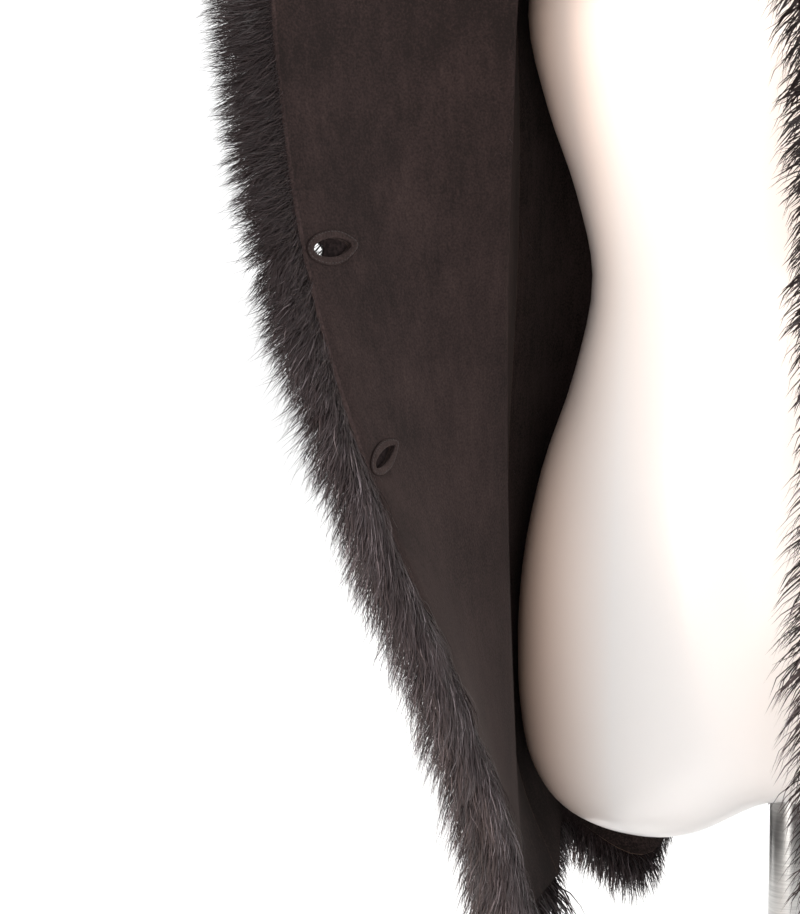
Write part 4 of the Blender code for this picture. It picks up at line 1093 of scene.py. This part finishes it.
for seed, key in enumerate(OUT_OF_VIEW, start=31):
    made = rolls[key][1]
    hairs[key.replace("_hem", "")].append(grow(
        key + "_roll_hairs", field(made, thick=made["thick"], wrap=True, lift=HAIR_SINK),
        coarse_hair, 120000.0, 0.0013, seed, tuft=0.008))
for key, (piece, _) in rolls.items():
    hairs[key.replace("_hem", "")].append(piece)
for hair in (coarse_hair, fine_hair):
    bpy.data.objects.remove(hair)
print("hairs in all:", hair_triangles, "triangles")

# %% [markdown]
# The form is a torso moulded in fibreglass and sprayed a glossy cream white. It is smooth, so its sections
# are joined by curves in both directions. Its underside has two soft lobes with an arch between them. The
# gloss has a slight orange-peel from the spray, and a few faint scuffs. Its left side, beside the coat's
# brown suede, is painted warmer as painted warm shade.

# %% The form
TORSO = [  # height, half width, front, back, how square
    (1000, 47, -34, 46, 2.0), (962, 49, -36, 45, 2.0), (951, 54, -37, 43, 1.7),
    (944.8, 71, -34, 41, 1.5), (936, 88, -32, 46, 1.3), (925, 115, -34, 50, 1.3),
    (912, 142, -40, 56, 1.35), (899, 158, -50, 63, 1.5), (878, 165, -60, 71, 1.85),
    (850, 164, -71, 79, 2.1), (800, 150, -88, 86, 2.25), (740, 159, -104, 91, 2.25),
    (695, 164, -109, 91, 2.25), (640, 152, -100, 85, 2.25), (590, 135, -87, 77, 2.25),
    (540, 125, -80, 75, 2.25), (480, 136, -84, 84, 2.25), (420, 156, -91, 98, 2.25),
    (360, 168, -96, 110, 2.25), (315, 171, -97, 115, 2.25), (270, 169, -94, 109, 2.25),
    (238, 162, -88, 98, 2.25), (215, 148, -77, 85, 2.25), (202, 130, -62, 69, 2.25),
    (195, 104, -44, 50, 2.25), (192, 64, -25, 29, 2.25),
]
LOBE_ARCH, LOBE_HALF, LOBE_START, FORM_SIDES = 34.0, 46.0, 300.0, 104
TOP_RADII, TOP_DISH, NECK_ROUND = (47, 40), 2.4, 997.0      # the neck's flat end, and where it rounds off

sections = np.array(TORSO, float)
knots = run_of(sections[:, :3])
sections = curve_through(knots, sections, spaced(knots, [4] * (len(TORSO) - 1)))
turn = np.linspace(0, 2 * np.pi, FORM_SIDES, endpoint=False)
rings = []
for share in (0.0, 0.5, 0.85, 0.96):
    x, y = TOP_RADII[0] * share * np.cos(turn), 6 + TOP_RADII[1] * share * np.sin(turn)
    rings.append(np.stack([x, y, 1000 - TOP_DISH * share**8 + 0 * x], axis=1))
for z, half, fore, aft, square in sections:
    x, y = (np.sign(a) * np.abs(a) ** (2 / square) for a in (np.cos(turn), np.sin(turn)))
    x, y = half * x, (fore + aft) / 2 + (aft - fore) / 2 * y
    low = np.clip((LOBE_START - z) / (LOBE_START - TORSO[-1][0]), 0, 1) ** 1.5
    arch = LOBE_ARCH * low * np.exp(-((x / LOBE_HALF) ** 2))
    rings.append(np.stack([x, y, min(z, NECK_ROUND) + arch], axis=1))
for share in (0.8, 0.55, 0.3, 0.12):
    ring = rings[len(sections) + 3] * (share, share, 1)
    ring[:, 2] = TORSO[-1][0] + LOBE_ARCH * np.exp(-((ring[:, 0] / LOBE_HALF) ** 2))
    rings.append(ring)

form_gloss, tree, shader = new_material(
    "sprayed_fibreglass_cream", Roughness=0.3, Coat_Weight=0.25, Coat_Roughness=0.12)
place = place_on(tree)
peel = noise(tree, place, 260.0, 1.0)["Fac"]
scuffs = noise(tree, place, 38.0, 6.0, Roughness=0.75)["Fac"]
# Painted warm shade: the cream is painted warmer and a little darker towards the form's left side, beside
# the coat's suede.
sideways = add(tree, "ShaderNodeSeparateXYZ", {0: place}).outputs["X"]
across = add(tree, "ShaderNodeMapRange", {"Value": sideways, "From Min": -0.18, "From Max": -0.10})
painted_warm_shade = ramp(tree, across.outputs[0], [(0.0, "#F8CFB4"), (0.45, "#F8E0D2"), (1.0, "#F1EFEE")])
faint = ramp(tree, scuffs, [(0.0, "#FFFFFF"), (0.74, "#FFFFFF"), (0.80, "#D2C6BE")])
mixed = add(tree, "ShaderNodeMix", {"Factor": 1.0, 6: painted_warm_shade, 7: faint},
            data_type="RGBA", blend_type="MULTIPLY")
paint(tree, shader, mixed.outputs[2], peel, 0.05, 0.0005)
form = ring_piece("torso_form", np.array(rings), [form_gloss], False)
print("form of", len(form.data.polygons), "faces")

# %% [markdown]
# The stand is a steel pole in a short hub on a round plate, turned on a lathe, so each is a profile
# spun round the Z axis with its corners rounded. Its satin finish has fine rings from the polishing.

# %% The stand
def lathe(name, profile, material, sides=96):
    turn = np.linspace(0, 2 * np.pi, sides, endpoint=False)
    rings = np.array([[(r * math.cos(a), r * math.sin(a), z) for a in turn] for r, z in profile])
    return ring_piece(name, rings, [material], False)


steel, tree, shader = new_material("satin_steel", Metallic=1.0, Roughness=0.32)
squeezed = add(tree, "ShaderNodeMapping", {"Vector": place_on(tree), "Scale": (1, 1, 14)})
rub = noise(tree, squeezed.outputs[0], 60.0, 3.0)["Fac"]
paint(tree, shader, ramp(tree, rub, [(0.3, "#A9A9A8"), (0.7, "#C4C4C2")]))
rough = add(tree, "ShaderNodeMapRange", {"Value": rub, "To Min": 0.26, "To Max": 0.4})
tree.links.new(rough.outputs[0], shader.inputs["Roughness"])

pole = lathe("steel_pole", [(12.1, 14.0), (12.5, 15.0), (12.5, 298.6), (12.1, 299.7)], steel)
plate = lathe("steel_base", [
    (4.0, 0.0), (163.4, 0.0), (164.6, 0.5), (165.0, 1.6), (165.0, 8.2), (164.2, 9.8), (162.4, 11.2),
    (160.0, 12.0), (31.0, 13.9), (26.5, 15.2), (23.6, 17.6), (22.4, 20.6), (21.2, 36.6), (20.6, 37.6),
    (19.6, 38.0), (12.9, 38.0), (12.9, 14.4)], steel)
print("stand of", pole.name, "and", plate.name)

# %% [markdown]
# The left front carries two buttons of black horn, turned with a raised rim and a shallow dish and drilled
# with four holes. Horn is glossy, and faint brown bands run through it.

# %% Buttons
horn, tree, shader = new_material("polished_black_horn", Roughness=0.22, Coat_Weight=0.3)
bands = noise(tree, place_on(tree), 120.0, 3.0, Distortion=1.2)["Fac"]
paint(tree, shader, ramp(tree, bands, [(0.35, "#110D0C"), (0.62, "#1E1715"), (0.8, "#3B2C26")]))

BUTTON_IN, BUTTON_FLOOR, DRILL_OFF, DRILL_RADIUS = 19.0, 12.4, 2.4, 1.0
BUTTON_PROFILE = [
    (3.0, 0.2), (11.6, 0.0), (13.4, 0.7), (14.0, 1.8), (14.0, 3.0), (13.5, 4.1), (12.4, 4.8), (11.2, 5.0),
    (10.2, 4.7), (9.0, 3.9), (5.0, 3.4),
]


def turned_piece(name, middle, ways, profile, sides, materials):
    """A profile of (radius, rise) spun round the third of three directions, from a middle."""
    turn = np.linspace(0, 2 * np.pi, sides, endpoint=False)[:, None]
    spin = np.cos(turn) * ways[0] + np.sin(turn) * ways[1]
    rings = np.array([middle + ways[2] * (BUTTON_FLOOR + rise) + radius * spin for radius, rise in profile])
    return ring_piece(name, rings, materials, False)


buttons = []
for number, (height, _, _) in enumerate(BUTTONHOLES, start=1):
    middle = on_front(left_front, height, BUTTON_IN, 0.0)
    outward = unit(on_front(left_front, height, BUTTON_IN, 5.0) - middle)
    across = unit(np.cross((0.0, 0.0, 1.0), outward))
    ways = (across, np.cross(outward, across), outward)
    button = turned_piece(f"horn_button_{number}", middle, ways, BUTTON_PROFILE, 40, [horn])
    drills = []
    for a, b in ((-1, -1), (-1, 1), (1, -1), (1, 1)):
        hub = middle + (ways[0] * a + ways[1] * b) * DRILL_OFF
        drills.append(turned_piece("drill", hub, ways, [(DRILL_RADIUS, -3), (DRILL_RADIUS, 9)], 14, []))
    cut_through([button], drills)
    buttons.append(button)
print("buttons:", [button.name for button in buttons])

# %% [markdown]
# Each piece now takes the place of its solid, which is hidden. A skin's undercoat and fur go with it, and
# its cut size is printed beside its area. Everything rides on the one body, since the coat has no joint.

# %% Pieces in place of their solids
CUT = {  # width and length of the cut in metres
    "back": (0.52, 0.86), "right_front": (0.34, 0.80), "left_front": (0.34, 0.80),
    "right_sleeve": (0.42, 0.58), "left_sleeve": (0.42, 0.58),
}
for skin in skins:
    piece, name = skin["piece"], skin["name"]
    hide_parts(name)
    going = [skin["undercoat"], *hairs[name]]
    for item in (piece, *going):
        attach(item, "root")
    size = CUT[name]
    made = area(skin["grid"], skin["closed"])
    print(name, "cut", size, "of", round(made, 3), "m2")
for piece, node, skin in (
    (right_facing, "right_facing", right_front), (left_facing, "left_facing", left_front),
):
    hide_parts(node)
    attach(piece, "root")
    made = area(skin["grid"][:, : SEAM_COLUMN + 1])
    going = [*bindings, *seams] if node == "right_facing" else []
for number, (welt, seam, button) in enumerate(zip(bindings, seams, buttons), start=1):
    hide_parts(f"buttonhole_binding_{number}")
    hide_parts(f"button_{number}")
    for piece in (welt, seam, button):
        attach(piece, "root")
for piece, node in ((form, "dress_form"), (pole, "stand_pole"), (plate, "stand_base")):
    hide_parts(node)
    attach(piece, "root")

# %% [markdown]
# The photograph was made in bright, even studio light on white. A white world gives the even light.
# Four large soft lamps add the rest: one from behind on the left, which makes the ends of the fur
# glow, one low in front, one on the right and a warmer one at the front left. The floor is plain.

# %% Floor and light
floor_paint, _, shader = new_material("white_studio_floor", Roughness=0.9)
shader.inputs["Base Color"].default_value = (0.9, 0.9, 0.9, 1)
FLOOR = [(-4000, -4000, -0.5), (4000, -4000, -0.5), (4000, 6000, -0.5), (-4000, 6000, -0.5)]
floor = mesh_piece("floor", FLOOR, [(0, 1, 2, 3)], [floor_paint])
floor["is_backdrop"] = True

world = bpy.data.worlds.new("white_studio")
world.use_nodes = True
world.node_tree.nodes["Background"].inputs["Color"].default_value = (1.0, 1.0, 1.0, 1.0)
world.node_tree.nodes["Background"].inputs["Strength"].default_value = 1.15
bpy.context.scene.world = world
bpy.context.scene.view_settings.view_transform = "Standard"

LIT = Vector((0, 0, 0.5))     # the lamps all point here
for name, spot, size, power, colour in (
    ("back_left_softbox", (-1.6, 1.3, 1.3), 1.2, 26.0, "#FFFFFF"),
    ("front_softbox", (0.3, -2.5, 0.15), 1.5, 46.0, "#FFFAF6"),
    ("right_softbox", (1.9, -1.3, 0.5), 1.4, 45.0, "#FFFFFF"),
    ("warm_lamp", (-1.3, -1.8, 0.35), 1.0, 32.0, "#FFD9BC"),
):
    lamp = in_scene(name, bpy.data.lights.new(name, "AREA"))
    lamp.data.size, lamp.data.energy, lamp.data.color = size, power, linear(colour)[:3]
    lamp.location, lamp.visible_camera = spot, False
    lamp.rotation_mode = "QUATERNION"
    lamp.rotation_quaternion = (LIT - Vector(spot)).to_track_quat("-Z", "Y")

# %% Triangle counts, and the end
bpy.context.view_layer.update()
drawn = {o.name: sum(len(p.vertices) - 2 for p in o.data.polygons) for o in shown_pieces()}
largest = max(drawn.items(), key=lambda item: item[1])
print("triangles in all:", sum(drawn.values()), "and in the largest piece:", largest)
